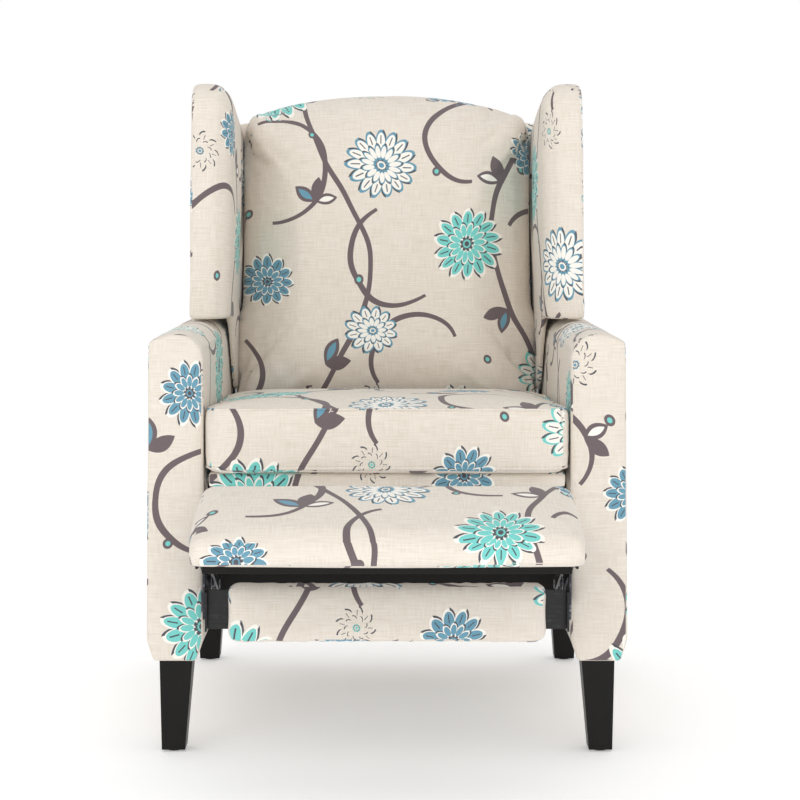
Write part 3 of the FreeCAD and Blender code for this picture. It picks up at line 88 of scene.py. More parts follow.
class Graph:
    """A node tree being written."""

    def __init__(self, tree: bpy.types.NodeTree) -> None:
        """Start on an empty tree.

        Args:
            tree: The tree to write into.
        """
        self.tree = tree
        tree.nodes.clear()

    def add(self, kind: str, *links: object, out: object = 0, **settings: object) -> object:
        """Add one node, with its settings and its links.

        Args:
            kind: Blender's type name of the node, without the ShaderNode at its start, or a sum in capitals.
            *links: One entry per input: a socket to link, a number or tuple to set, or None to leave it.
            out: Number of the output that is returned, or several numbers for a list of outputs.
            **settings: Properties of the node. One named inputs gives inputs by their number or name.

        Returns:
            The chosen output or outputs, or the node itself where it has none.
        """
        inputs = settings.pop("inputs", {})
        node = self.tree.nodes.new("ShaderNodeMath" if kind.isupper() else f"ShaderNode{kind}")
        if kind.isupper():
            node.operation = kind
        for key, value in settings.items():
            setattr(node, key, value)
        for place, value in [*enumerate(links), *inputs.items()]:
            if isinstance(value, bpy.types.NodeSocket):
                self.tree.links.new(value, node.inputs[place])
            elif value is not None:
                node.inputs[place].default_value = value
        if isinstance(out, tuple):
            return [node.outputs[number] for number in out]
        return node.outputs[out] if len(node.outputs) else node

    def lay(self, ground: object, *inks: tuple[object, object]) -> object:
        """Lay colours over a ground, one after another.

        Args:
            ground: The colour beneath.
            *inks: Each colour, with how much of it shows.

        Returns:
            The colour that is seen.
        """
        for ink, share in inks:
            ground = self.add("Mix", data_type="RGBA", out=2, inputs={0: share, 6: ground, 7: ink})
        return ground

def new_material(name: str) -> tuple[bpy.types.Material, Graph]:
    """An empty node material.

    Args:
        name: What the real finish is called.

    Returns:
        The material and its graph.
    """
    material = bpy.data.materials.new(name)
    material.use_nodes = True
    return material, Graph(material.node_tree)


def close_material(graph: Graph, bump: object = None, **sockets: object) -> None:
    """Put the shader and the output on a material.

    Args:
        graph: The material's graph.
        bump: The normal, if the surface has a relief.
        **sockets: Inputs of the shader, with underscores for the spaces in their names.
    """
    values = {key.replace("_", " "): value for key, value in sockets.items()}
    shader = graph.add("BsdfPrincipled", inputs={**values, "Normal": bump})
    graph.add("OutputMaterial", shader)


# Finishes

class Bloom(Enum):
    """How a printed flower is drawn."""

    FILLED = "filled"
    OUTLINED = "outlined"
    BUTTON = "button"


@dataclass(frozen=True)
class Flower:
    """A round flower of the print, at its place in the repeat, in metres."""

    across: float
    up: float
    radius: float
    petals: int
    turn: float
    bloom: Bloom
    dye: str


@dataclass(frozen=True)
class Sprig:
    """An almond leaf of the print, at its place in the repeat, in metres and degrees."""

    across: float
    up: float
    length: float
    turn: float
    heart: str


@dataclass(frozen=True)
class Tendril:
    """A bow-shaped stem of the print: part of a ring, in metres and degrees."""

    across: float
    up: float
    radius: float
    middle: float
    spread: float


@dataclass(frozen=True)
class PrintedLinen:
    """Ivory slub linen, woven from uneven yarn and printed with round daisies on waving stems.

    The yarn gives the eye short darker and lighter streaks both ways. Lengths on the cloth are in metres, and
    those of a flower are shares of its radius.
    """

    ground: str = "#EAE2D7"
    shade: str = "#D9CEC0"
    stem: str = "#6F6366"
    line: str = "#55565C"
    aqua: str = "#7ACFC8"
    slate: str = "#6C9CB1"
    cream: str = "#F6F2EA"
    repeat: float = 0.62
    stem_width: float = 0.0043
    wander: float = 0.020
    wander_scale: float = 11.0
    yarn: float = 0.0016
    leaf_rim: float = 0.13
    berry_heart: float = 0.48
    outer_row: tuple[float, float] = (0.66, 0.36)
    inner_row: tuple[float, float] = (0.37, 0.22)
    eye_ring: tuple[float, float] = (0.17, 0.035)
    eye: float = 0.07
    vein: tuple[float, float] = (0.60, 0.86)
    vines: tuple[tuple[float, float, float], ...] = ((0.225, 0.4, 0.058), (0.535, 2.9, 0.050))
    flowers: tuple[Flower, ...] = (
        Flower(0.120, 0.455, 0.070, 16, 10, Bloom.FILLED, "aqua"),
        Flower(0.445, 0.160, 0.058, 14, 25, Bloom.FILLED, "aqua"),
        Flower(0.425, 0.500, 0.045, 12, 0, Bloom.FILLED, "slate"),
        Flower(0.105, 0.105, 0.043, 12, 40, Bloom.FILLED, "slate"),
        Flower(0.560, 0.330, 0.038, 11, 8, Bloom.FILLED, "slate"),
        Flower(0.300, 0.300, 0.058, 15, 5, Bloom.OUTLINED, "slate"),
        Flower(0.585, 0.570, 0.050, 13, 15, Bloom.OUTLINED, "aqua"),
        Flower(0.285, 0.020, 0.042, 12, 30, Bloom.OUTLINED, "slate"),
        Flower(0.020, 0.290, 0.032, 9, 12, Bloom.BUTTON, "slate"),
        Flower(0.285, 0.520, 0.028, 9, 20, Bloom.BUTTON, "aqua"),
    )
    sprigs: tuple[Sprig, ...] = (
        Sprig(0.187, 0.232, 0.046, 140, "slate"),
        Sprig(0.187, 0.232, 0.044, 78, "stem"),
        Sprig(0.187, 0.232, 0.040, 12, "cream"),
        Sprig(0.372, 0.420, 0.044, 150, "cream"),
        Sprig(0.372, 0.420, 0.046, 95, "slate"),
        Sprig(0.372, 0.420, 0.040, 35, "stem"),
        Sprig(0.515, 0.055, 0.046, -160, "stem"),
        Sprig(0.515, 0.055, 0.044, -100, "slate"),
        Sprig(0.505, 0.268, 0.042, 170, "cream"),
        Sprig(0.505, 0.268, 0.044, 110, "stem"),
        Sprig(0.208, 0.585, 0.046, 60, "slate"),
        Sprig(0.208, 0.585, 0.044, 5, "stem"),
        Sprig(0.030, 0.190, 0.042, 30, "cream"),
        Sprig(0.030, 0.190, 0.044, -35, "stem"),
    )
    tendrils: tuple[Tendril, ...] = (
        Tendril(0.118, 0.290, 0.090, 10, 100),
        Tendril(0.455, 0.345, 0.078, 165, 105),
        Tendril(0.330, 0.145, 0.084, -150, 95),
        Tendril(0.585, 0.165, 0.074, 60, 95),
        Tendril(0.020, 0.560, 0.078, -40, 90),
        Tendril(0.355, 0.590, 0.072, 120, 95),
    )
    berries: tuple[tuple[float, float, float], ...] = (
        (0.070, 0.218, 0.0085), (0.540, 0.300, 0.0080), (0.262, 0.100, 0.0085), (0.600, 0.090, 0.0080),
        (0.395, 0.285, 0.0070), (0.180, 0.350, 0.0070), (0.480, 0.590, 0.0075), (0.030, 0.020, 0.0075),
    )

    def dye(self, name: str) -> tuple[float, float, float, float]:
        """Colour of an ink by its name."""
        return linear(getattr(self, name))

    def flower_group(self) -> bpy.types.NodeTree:
        """Draw a daisy on a disc of radius one.

        Returns:
            A group from a place and a number of petals to the shares of fill, pale edge, dark edge and heart.
        """
        tree = bpy.data.node_groups.new("daisy", "ShaderNodeTree")
        tree.interface.new_socket("Place", in_out="INPUT", socket_type="NodeSocketVector")
        tree.interface.new_socket("Petals", in_out="INPUT", socket_type="NodeSocketFloat")
        for name in ("Fill", "Pale", "Dark", "Heart"):
            tree.interface.new_socket(name, in_out="OUTPUT", socket_type="NodeSocketFloat")
        graph = Graph(tree)
        start = tree.nodes.new("NodeGroupInput")
        place, petals = start.outputs[0], start.outputs[1]
        radius = graph.add("VectorMath", place, operation="LENGTH", out=1)
        across, up = graph.add("SeparateXYZ", place, out=(0, 1))
        angle = graph.add("ARCTAN2", up, across)
        part = graph.add("MULTIPLY", angle, graph.add("DIVIDE", petals, 2 * math.pi))
        outer, outer_aside = self._petal_row(graph, radius, part, petals, self.outer_row, shift=0.0)
        inner, inner_aside = self._petal_row(graph, radius, part, petals, self.inner_row, shift=0.5)

        covered = graph.add("LESS_THAN", inner, 1.08)
        beyond = graph.add("SUBTRACT", 1.0, covered)
        fill = graph.add("MAXIMUM", graph.add("LESS_THAN", outer, 1.0), covered)
        fill = graph.add("MAXIMUM", fill, graph.add("LESS_THAN", radius, 0.30))

        rim = graph.add("MULTIPLY", graph.add("COMPARE", outer, 0.93, 0.13), beyond)
        pale = graph.add("MAXIMUM", graph.add("COMPARE", inner, 0.92, 0.15), rim)

        shaded = graph.add("LESS_THAN", outer_aside, -0.06)
        outer_line = graph.add("MULTIPLY", graph.add("COMPARE", outer, 1.04, 0.12), beyond)
        outer_line = graph.add("MULTIPLY", outer_line, shaded)
        shaded = graph.add("LESS_THAN", inner_aside, 0.02)
        inner_line = graph.add("MULTIPLY", graph.add("COMPARE", inner, 1.06, 0.12), shaded)
        low, high = self.vein
        vein = graph.add("COMPARE", outer_aside, 0.0, 0.016)
        vein = graph.add("MULTIPLY", vein, graph.add("LESS_THAN", radius, high))
        vein = graph.add("MULTIPLY", vein, graph.add("GREATER_THAN", radius, low))
        dark = graph.add("MAXIMUM", graph.add("MAXIMUM", outer_line, inner_line), vein)

        dots = graph.add("GREATER_THAN", graph.add("SINE", graph.add("MULTIPLY", angle, 9.0)), -0.3)
        heart = graph.add("MULTIPLY", graph.add("COMPARE", radius, *self.eye_ring), dots)
        heart = graph.add("MAXIMUM", heart, graph.add("LESS_THAN", radius, self.eye))
        end = tree.nodes.new("NodeGroupOutput")
        for number, value in enumerate((fill, pale, dark, heart)):
            tree.links.new(value, end.inputs[number])
        return tree

    @staticmethod
    def _petal_row(
        graph: Graph, radius: object, part: object, petals: object, row: tuple[float, float], shift: float,
    ) -> tuple[object, object]:
        """One ring of round-tipped petals.

        Args:
            graph: The group's graph.
            radius: Distance from the flower's middle.
            part: Angle counted in petals.
            petals: How many petals go round.
            row: Distance of a petal's middle from the flower's middle, and half a petal's length.
            shift: How far the row is turned, in petals.

        Returns:
            A value that is one on a petal's edge, and the distance from its spine.
        """
        middle, reach = row
        plump = 1.12
        cell = graph.add("SUBTRACT", graph.add("FRACT", graph.add("ADD", part, shift)), 0.5)
        swing = graph.add("MULTIPLY", cell, graph.add("DIVIDE", 2 * math.pi, petals))
        spine = graph.add("MULTIPLY", radius, graph.add("COSINE", swing))
        aside = graph.add("MULTIPLY", radius, graph.add("SINE", swing))
        along = graph.add("DIVIDE", graph.add("SUBTRACT", spine, middle), reach)
        slope = graph.add("TANGENT", graph.add("DIVIDE", math.pi, petals))
        off = graph.add("DIVIDE", aside, graph.add("MULTIPLY", slope, middle * plump))
        squares = graph.add("ADD", graph.add("MULTIPLY", along, along), graph.add("MULTIPLY", off, off))
        return graph.add("SQRT", squares), aside

    def place_in(
        self, graph: Graph, cloth: object, across: float, up: float, turn: float, size: float,
    ) -> object:
        """Cloth coordinates seen from one motif, whichever repeat it lies in.

        Args:
            graph: The material's graph.
            cloth: Coordinates on the cloth, in metres.
            across: Place of the motif across the repeat.
            up: Place of the motif up the repeat.
            turn: How far the motif is turned, in degrees.
            size: Length that becomes one.

        Returns:
            The motif's own coordinates.
        """
        half = self.repeat / 2
        moved = graph.add("VectorMath", cloth, (across, up, 0.0), operation="SUBTRACT")
        wrapped = graph.add("VectorMath", moved, (half, half, 1.0), (-half, -half, -1.0), operation="WRAP")
        return graph.add(
            "Mapping", wrapped, (0.0, 0.0, 0.0), (0.0, 0.0, math.radians(turn)), (size, size, size),
            vector_type="TEXTURE")

    def stems(self, graph: Graph, cloth: object) -> object:
        """Waving stems that climb the cloth, with the bows that leave them.

        Args:
            graph: The material's graph.
            cloth: Coordinates on the cloth, in metres.

        Returns:
            Share of stem ink.
        """
        across, up = graph.add("SeparateXYZ", cloth, out=(0, 1))
        wave = 2 * math.pi / self.repeat
        strokes = []
        for start, phase, swell in self.vines:
            turn = graph.add("MULTIPLY_ADD", up, wave, phase)
            line = graph.add("MULTIPLY", graph.add("SINE", turn), swell)
            lean = graph.add("MULTIPLY", graph.add("COSINE", turn), swell * wave)
            off = graph.add("SUBTRACT", across, graph.add("ADD", line, start))
            off = graph.add("WRAP", off, self.repeat / 2, -self.repeat / 2)
            length = graph.add("SQRT", graph.add("MULTIPLY_ADD", lean, lean, 1.0))
            off = graph.add("DIVIDE", graph.add("ABSOLUTE", off), length)
            strokes.append(graph.add("LESS_THAN", off, self.stem_width))
        for bow in self.tendrils:
            place = self.place_in(graph, cloth, bow.across, bow.up, bow.middle, bow.radius)
            radius = graph.add("VectorMath", place, operation="LENGTH", out=1)
            ratio = graph.add("DIVIDE", graph.add("SeparateXYZ", place), radius)
            inside = graph.add("GREATER_THAN", ratio, math.cos(math.radians(bow.spread)))
            taper = graph.add("MULTIPLY_ADD", ratio, 0.35, 0.75)
            half = graph.add("MULTIPLY", taper, self.stem_width / bow.radius)
            off = graph.add("ABSOLUTE", graph.add("SUBTRACT", radius, 1.0))
            strokes.append(graph.add("MULTIPLY", graph.add("LESS_THAN", off, half), inside))
        return reduce(lambda one, other: graph.add("MAXIMUM", one, other), strokes)

    def leaf_mask(self, graph: Graph, place: object, inset: float) -> object:
        """Share of an almond leaf that lies from nought to one along its own first axis.

        Args:
            graph: The material's graph.
            place: Coordinates seen from the leaf's stalk, as shares of its length.
            inset: How far the leaf is drawn in from its edge.

        Returns:
            Share of ink.
        """
        along, aside = graph.add("SeparateXYZ", place, out=(0, 1))
        middle = graph.add("MULTIPLY_ADD", along, 2.0, -1.0)
        bulge = graph.add("MULTIPLY_ADD", graph.add("MULTIPLY", middle, middle), -0.25, 0.25 - inset)
        return graph.add("LESS_THAN", graph.add("ABSOLUTE", aside), bulge)

    def build(self) -> bpy.types.Material:
        """Make the cloth."""
        material, graph = new_material("printed_linen")
        cloth = graph.add("UVMap", uv_map=CLOTH_MAP)
        warp = graph.add(
            "TexNoise", graph.add("Mapping", cloth, None, None, (26.0, 620.0, 1.0)),
            inputs={"Scale": 1.0, "Detail": 3.0, "Roughness": 0.6})
        weft = graph.add(
            "TexNoise", graph.add("Mapping", cloth, None, None, (620.0, 34.0, 1.0)),
            inputs={"Scale": 1.0, "Detail": 2.0, "Roughness": 0.55})
        slub = graph.add("ADD", graph.add("MULTIPLY", warp, 0.6), graph.add("MULTIPLY", weft, 0.4))
        share = graph.add("MapRange", slub, 0.40, 0.66, 0.0, 1.0)
        ground = graph.lay(linear(self.ground), (linear(self.shade), share))
        weave = self._weave(graph, cloth)
        relief = graph.add("ADD", graph.add("MULTIPLY", slub, 0.55), graph.add("MULTIPLY", weave, 0.45))
        bump = graph.add("Bump", 0.32, 0.0012, inputs={"Height": relief})
        # Painted light and shade of the weave: the raised threads are painted lighter and the hollows between
        # them painted darker, following the weave height.
        weave_shade_tone = graph.add("MULTIPLY_ADD", weave, 0.07, 0.955)
        weave_shade_grey = graph.add("CombineColor", weave_shade_tone, weave_shade_tone, weave_shade_tone)
        colour = graph.add(
            "Mix", data_type="RGBA", blend_type="MULTIPLY", out=2,
            inputs={0: 1.0, 6: self._printed(graph, cloth, ground), 7: weave_shade_grey})
        close_material(
            graph, bump, Base_Color=colour, Roughness=0.88, IOR=1.47, Sheen_Weight=0.18, Sheen_Roughness=0.5,
            Specular_IOR_Level=0.28)
        return material

    def _weave(self, graph: Graph, cloth: object) -> object:
        """Plain weave, drawn at twice its real yarn so that it shows."""
        pitch = 2 * math.pi / (2 * self.yarn)
        over, under = (
            graph.add("SINE", graph.add("MULTIPLY", way, pitch))
            for way in graph.add("SeparateXYZ", cloth, out=(0, 1)))
        return graph.add("MULTIPLY_ADD", graph.add("MULTIPLY", over, under), 0.5, 0.5)

    def _printed(self, graph: Graph, cloth: object, ground: object) -> object:
        """Print the stems, leaves, berries and flowers over the ground.

        Args:
            graph: The material's graph.
            cloth: Coordinates on the cloth, in metres.
            ground: Colour of the bare cloth.

        Returns:
            The printed colour.
        """
        noisy = graph.add("TexNoise", cloth, inputs={"Scale": self.wander_scale, "Detail": 0.0}, out=1)
        noisy = graph.add("VectorMath", noisy, (0.5, 0.5, 0.5), operation="SUBTRACT")
        noisy = graph.add("VectorMath", noisy, (self.wander, self.wander, 0.0), operation="MULTIPLY")
        hand = graph.add("VectorMath", cloth, noisy, operation="ADD")
        stem, line, cream = linear(self.stem), linear(self.line), linear(self.cream)
        inks = [(stem, self.stems(graph, hand))]
        for leaf in self.sprigs:
            place = self.place_in(graph, hand, leaf.across, leaf.up, leaf.turn, leaf.length)
            inks.append((stem, self.leaf_mask(graph, place, 0.0)))
            if leaf.heart != "stem":
                inks.append((self.dye(leaf.heart), self.leaf_mask(graph, place, self.leaf_rim)))
        for across, up, radius in self.berries:
            place = self.place_in(graph, hand, across, up, 0.0, radius)
            span = graph.add("VectorMath", place, operation="LENGTH", out=1)
            inks.append((stem, graph.add("LESS_THAN", span, 1.0)))
            inks.append((linear(self.aqua), graph.add("LESS_THAN", span, self.berry_heart)))
        group = self.flower_group()
        for flower in self.flowers:
            place = self.place_in(graph, hand, flower.across, flower.up, flower.turn, flower.radius)
            shares = graph.add("Group", place, float(flower.petals), node_tree=group, out=(0, 1, 2, 3))
            dye = self.dye(flower.dye)
            colours = {
                Bloom.FILLED: (dye, cream, line, line),
                Bloom.OUTLINED: (cream, dye, line, dye),
                Bloom.BUTTON: (None, None, line, dye),
            }[flower.bloom]
            inks += [(colour, share) for colour, share in zip(colours, shares) if colour is not None]
        return graph.lay(ground, *inks)


@dataclass(frozen=True)
class LacqueredBeech:
    """Beech under black satin lacquer: near black, with faint grain and a broken soft gloss."""

    colour: str = "#0B0908"
    worn: str = "#171210"
    grain: float = 0.0022
    along: float = 14.0

    def build(self) -> bpy.types.Material:
        """Make the lacquer."""
        material, graph = new_material("black_satin_lacquered_beech")
        fine = 1 / self.grain
        place = graph.add("Mapping", graph.add("TexCoord", out=3), None, None, (fine, fine, self.along))
        grain = graph.add("TexNoise", place, inputs={"Scale": 1.0, "Detail": 4.0, "Roughness": 0.6})
        share = graph.add("MapRange", grain, 0.45, 0.8, 0.0, 0.6)
        close_material(
            graph, graph.add("Bump", 0.05, 0.0006, inputs={"Height": grain}),
            Base_Color=graph.lay(linear(self.colour), (linear(self.worn), share)),
            Roughness=graph.add("MapRange", grain, 0.3, 0.7, 0.34, 0.46), IOR=1.45, Specular_IOR_Level=0.22,
            Coat_Weight=0.06, Coat_Roughness=0.25)
        return material


@dataclass(frozen=True)
class BareTimber:
    """Sawn pine or birch plywood inside the chair: pale, dry, with long grain."""

    name: str
    early: str
    late: str
    axis_scale: tuple[float, float, float]

    def build(self) -> bpy.types.Material:
        """Make the timber."""
        material, graph = new_material(self.name)
        place = graph.add("Mapping", graph.add("TexCoord", out=3), None, None, self.axis_scale)
        rings = graph.add(
            "TexNoise", place, inputs={"Scale": 1.0, "Detail": 5.0, "Roughness": 0.6, "Distortion": 0.6})
        share = graph.add("MapRange", rings, 0.35, 0.7, 0.0, 1.0)
        close_material(
            graph, graph.add("Bump", 0.2, 0.0006, inputs={"Height": rings}),
            Base_Color=graph.lay(linear(self.early), (linear(self.late), share)), Roughness=0.72, IOR=1.5)
        return material


@dataclass(frozen=True)
class Metal:
    """A steel finish: stoved black paint, zinc plate or oiled spring wire."""

    name: str
    colour: str
    scuff: str
    metallic: float
    roughness: float
    streak: float
    coat: float = 0.0

    def build(self) -> bpy.types.Material:
        """Make the metal."""
        material, graph = new_material(self.name)
        place = graph.add("TexCoord", out=3)
        mottle = graph.add("TexNoise", place, inputs={"Scale": 55.0, "Detail": 5.0, "Roughness": 0.65})
        drawn = graph.add("Mapping", place, None, None, (30.0, self.streak, self.streak))
        drawn = graph.add("TexNoise", drawn, inputs={"Scale": 1.0, "Detail": 2.0})
        share = graph.add("MapRange", graph.add("MULTIPLY", mottle, drawn), 0.26, 0.42, 0.0, 1.0)
        low, high = self.roughness - 0.07, self.roughness + 0.1
        close_material(
            graph, graph.add("Bump", 0.12, 0.0004, inputs={"Height": drawn}),
            Base_Color=graph.lay(linear(self.colour), (linear(self.scuff), share)),
            Roughness=graph.add("MapRange", mottle, 0.3, 0.7, low, high), Metallic=self.metallic,
            Coat_Weight=self.coat)
        return material


@dataclass(frozen=True)
class Moulded:
    """Moulded nylon or woven elastic: even colour, slightly waxy or ribbed."""

    name: str
    colour: str
    roughness: float
    rib: float

    def build(self) -> bpy.types.Material:
        """Make the plastic."""
        material, graph = new_material(self.name)
        place = graph.add("Mapping", graph.add("TexCoord", out=3), None, None, (self.rib, self.rib, self.rib))
        grain = graph.add("TexNoise", place, inputs={"Scale": 1.0, "Detail": 3.0})
        share = graph.add("MapRange", grain, 0.4, 0.8, 0.0, 0.3)
        close_material(
            graph, graph.add("Bump", 0.25, 0.0005, inputs={"Height": grain}),
            Base_Color=graph.lay(linear(self.colour), (linear("#000000"), share)), Roughness=self.roughness,
            IOR=1.53)
        return material


# Making pieces

def only(piece: bpy.types.Object) -> None:
    """Select one piece and nothing else.

    Args:
        piece: The piece that the next operators work on.
    """
    bpy.ops.object.select_all(action="DESELECT")
    piece.select_set(True)
    bpy.context.view_layer.objects.active = piece


def copy_solid(name: str, node: str) -> bpy.types.Object:
    """Start a soft piece from the solid that it replaces.

    Args:
        name: Name of the new piece.
        node: The solid to copy.

    Returns:
        The new piece, with its doubles merged.
    """
    mesh = bmesh.new()
    mesh.from_mesh(FRAME["nodes"][node].data)
    bmesh.ops.remove_doubles(mesh, verts=mesh.verts, dist=MERGE)
    data = bpy.data.meshes.new(name)
    mesh.to_mesh(data)
    mesh.free()
    piece = bpy.data.objects.new(name, data)
    bpy.context.scene.collection.objects.link(piece)
    return piece


def remesh(piece: bpy.types.Object, voxel: float) -> None:
    """Give a piece an even skin of small squares.

    Args:
        piece: The piece.
        voxel: Side of a square, in metres.
    """
    only(piece)
    modifier = piece.modifiers.new("skin", "REMESH")
    modifier.mode = "VOXEL"
    modifier.voxel_size = voxel
    modifier.use_smooth_shade = True
    bpy.ops.object.modifier_apply(modifier=modifier.name)


def relax(piece: bpy.types.Object, times: int) -> None:
    """Smooth a skin a little, as padding rounds what it covers."""
    only(piece)
    modifier = piece.modifiers.new("ease", "SMOOTH")
    modifier.factor = 0.5
    modifier.iterations = times
    bpy.ops.object.modifier_apply(modifier=modifier.name)


def stuff(
    piece: bpy.types.Object, pressure: float, cap: float, held: Callable[[Vector], bool],
    frames: int = 20,
) -> None:
    """Blow a cover up with its filling by simulating the cloth.

    Args:
        piece: The piece, already skinned.
        pressure: How hard the filling pushes.
        cap: Furthest that a point may move, in metres.
        held: Tells for a point whether a seam or a board holds it.
        frames: How long the cloth moves.
    """
    start = [vertex.co.copy() for vertex in piece.data.vertices]
    pins = piece.vertex_groups.new(name="held")
    pins.add([number for number, point in enumerate(start) if held(point)], 1.0, "REPLACE")
    cloth = piece.modifiers.new("filling", "CLOTH")
    cloth.settings.quality = 5
    cloth.settings.mass = 0.35
    cloth.settings.tension_stiffness = 18
    cloth.settings.compression_stiffness = 14
    cloth.settings.shear_stiffness = 8
    cloth.settings.bending_stiffness = 0.8
    cloth.settings.use_pressure = True
    cloth.settings.uniform_pressure_force = pressure
    cloth.settings.effector_weights.gravity = 0.0
    cloth.settings.vertex_group_mass = "held"
    cloth.point_cache.frame_start, cloth.point_cache.frame_end = 1, frames
    scene = bpy.context.scene
    for frame in range(1, frames + 1):
        scene.frame_set(frame)
    moved = piece.evaluated_get(bpy.context.evaluated_depsgraph_get()).to_mesh()
    ends = [vertex.co.copy() for vertex in moved.vertices]
    piece.modifiers.remove(cloth)
    for vertex, origin, end in zip(piece.data.vertices, start, ends):
        push = end - origin
        vertex.co = origin + (push if push.length <= cap else push * (cap / push.length))
    scene.frame_set(1)
    piece.vertex_groups.clear()


def shape(piece: bpy.types.Object, move: Callable[[Vector, Vector], Vector]) -> None:
    """Move every point of a piece one by one.

    Args:
        piece: The piece.
        move: Gives a point's new place from its place and its normal.
    """
    normals = [vertex.normal.copy() for vertex in piece.data.vertices]
    for vertex, normal in zip(piece.data.vertices, normals):
        vertex.co = move(vertex.co.copy(), normal)
    piece.data.update()


def smooth_step(value: float, low: float, high: float) -> float:
    """Rise from nought at low to one at high, with soft ends."""
    share = min(1.0, max(0.0, (value - low) / (high - low)))
    return share * share * (3 - 2 * share)


def tube(name: str, points: Sequence[Vector], radius: float) -> bpy.types.Object:
    """Sewn cord along a closed line.

    Args:
        name: Name of the piece.
        points: The line, in metres.
        radius: Half the cord's thickness.

    Returns:
        The cord as a mesh.
    """
    data = bpy.data.curves.new(name, "CURVE")
    data.dimensions = "3D"
    data.bevel_depth = radius
    data.bevel_resolution = 3
    data.use_fill_caps = False
    spline = data.splines.new("NURBS")
    spline.points.add(len(points) - 1)
    for place, point in zip(spline.points, points):
        place.co = (*point, 1.0)
    spline.order_u = 3
    spline.use_cyclic_u = True
    spline.use_endpoint_u = False
    piece = bpy.data.objects.new(name, data)
    bpy.context.scene.collection.objects.link(piece)
    only(piece)
    bpy.ops.object.convert(target="MESH")
    piece = bpy.context.view_layer.objects.active
    piece.name = name
    return piece


@dataclass(frozen=True)
class Panel:
    """A flat cut of cloth: which way it faces, how it lies, its place in the print and how far it reaches."""

    faces: tuple[float, float, float]
    across: tuple[float, float, float]
    up: tuple[float, float, float]
    shift: tuple[float, float] = (0.0, 0.0)
    pull: float = 1.0


SIDES = {
    "front": Panel(MINUS_Y, X, Z), "rear": Panel(Y, MINUS_X, Z), "left": Panel(X, Y, Z),
    "right": Panel(MINUS_X, MINUS_Y, Z), "top": Panel(Z, X, Y), "bottom": Panel(MINUS_Z, X, Y),
}


def sides(*names: str, shift: tuple[float, float] = (0.0, 0.0), pull: float = 1.0) -> list[Panel]:
    """Square cuts for some sides of a piece.

    Args:
        *names: The sides.
        shift: Where they sit in the print.
        pull: How far they reach round an edge.

    Returns:
        Their panels.
    """
    return [replace(SIDES[name], shift=shift, pull=pull) for name in names]


def cut_cloth(piece: bpy.types.Object, panels: Sequence[Panel]) -> None:
    """Shade a piece smooth and lay the cloth on it, one panel for each way that it faces.

    Args:
        piece: The piece.
        panels: Its cuts. A face takes the panel that it faces most.
    """
    data = piece.data
    data.polygons.foreach_set("use_smooth", [True] * len(data.polygons))
    layer = data.uv_layers.new(name=CLOTH_MAP)
    ways = [
        (Vector(cut.faces).normalized() * cut.pull, Vector(cut.across), Vector(cut.up), cut.shift)
        for cut in panels]
    for face in data.polygons:
        normal = face.normal
        _, across, up, shift = max(ways, key=lambda way: way[0].dot(normal))
        for corner in face.loop_indices:
            point = data.vertices[data.loops[corner].vertex_index].co
            layer.data[corner].uv = (across.dot(point) + shift[0], up.dot(point) + shift[1])


def dress(piece: bpy.types.Object, cloth: bpy.types.Material, body: str, *nodes: str) -> None:
    """Finish a piece, set it on its body and let it stand for its solids.

    Args:
        piece: The piece.
        cloth: Its cloth.
        body: The body that carries it.
        *nodes: The solids that it replaces.
    """
    piece.data.materials.clear()
    piece.data.materials.append(cloth)
    if nodes:
        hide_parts(*nodes)
    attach(piece, body)
    LOG.info("%s: %d faces on %s", piece.name, len(piece.data.polygons), body)


def skin_of(piece: bpy.types.Object) -> BVHTree:
    """Search tree of a piece's surface."""
    mesh = bmesh.new()
    mesh.from_mesh(piece.data)
    tree = BVHTree.FromBMesh(mesh)
    mesh.free()
    return tree


def fold(point: Vector, way: Vector, pitch: float, seed: float) -> float:
    """Soft gathers that run across one direction.

    Args:
        point: A place on the cloth.
        way: The direction that they follow one another in.
        pitch: Distance between two, in metres.
        seed: Which of many like patterns to take.

    Returns:
        Height between minus one and one.
    """
    along = point.dot(way) / pitch
    drift = noise.noise(Vector((along * 0.35 + seed, point.z * 9.0, seed)))
    depth = noise.noise(Vector((along * 0.8, seed, point.z * 14)))
    return math.sin(2 * math.pi * (along + 1.4 * drift)) * depth


def swell(point: Vector, scale: float, seed: float) -> float:
    """Slow unevenness of stuffing, seen from the side: waves in depth and height.

    Args:
        point: A place on the cloth.
        scale: Waves to a metre.
        seed: Which of many like patterns to take.

    Returns:
        Height between minus one and one.
    """
    return noise.noise(Vector((point.y * scale, point.z * scale, seed)))


# Sub-assemblies

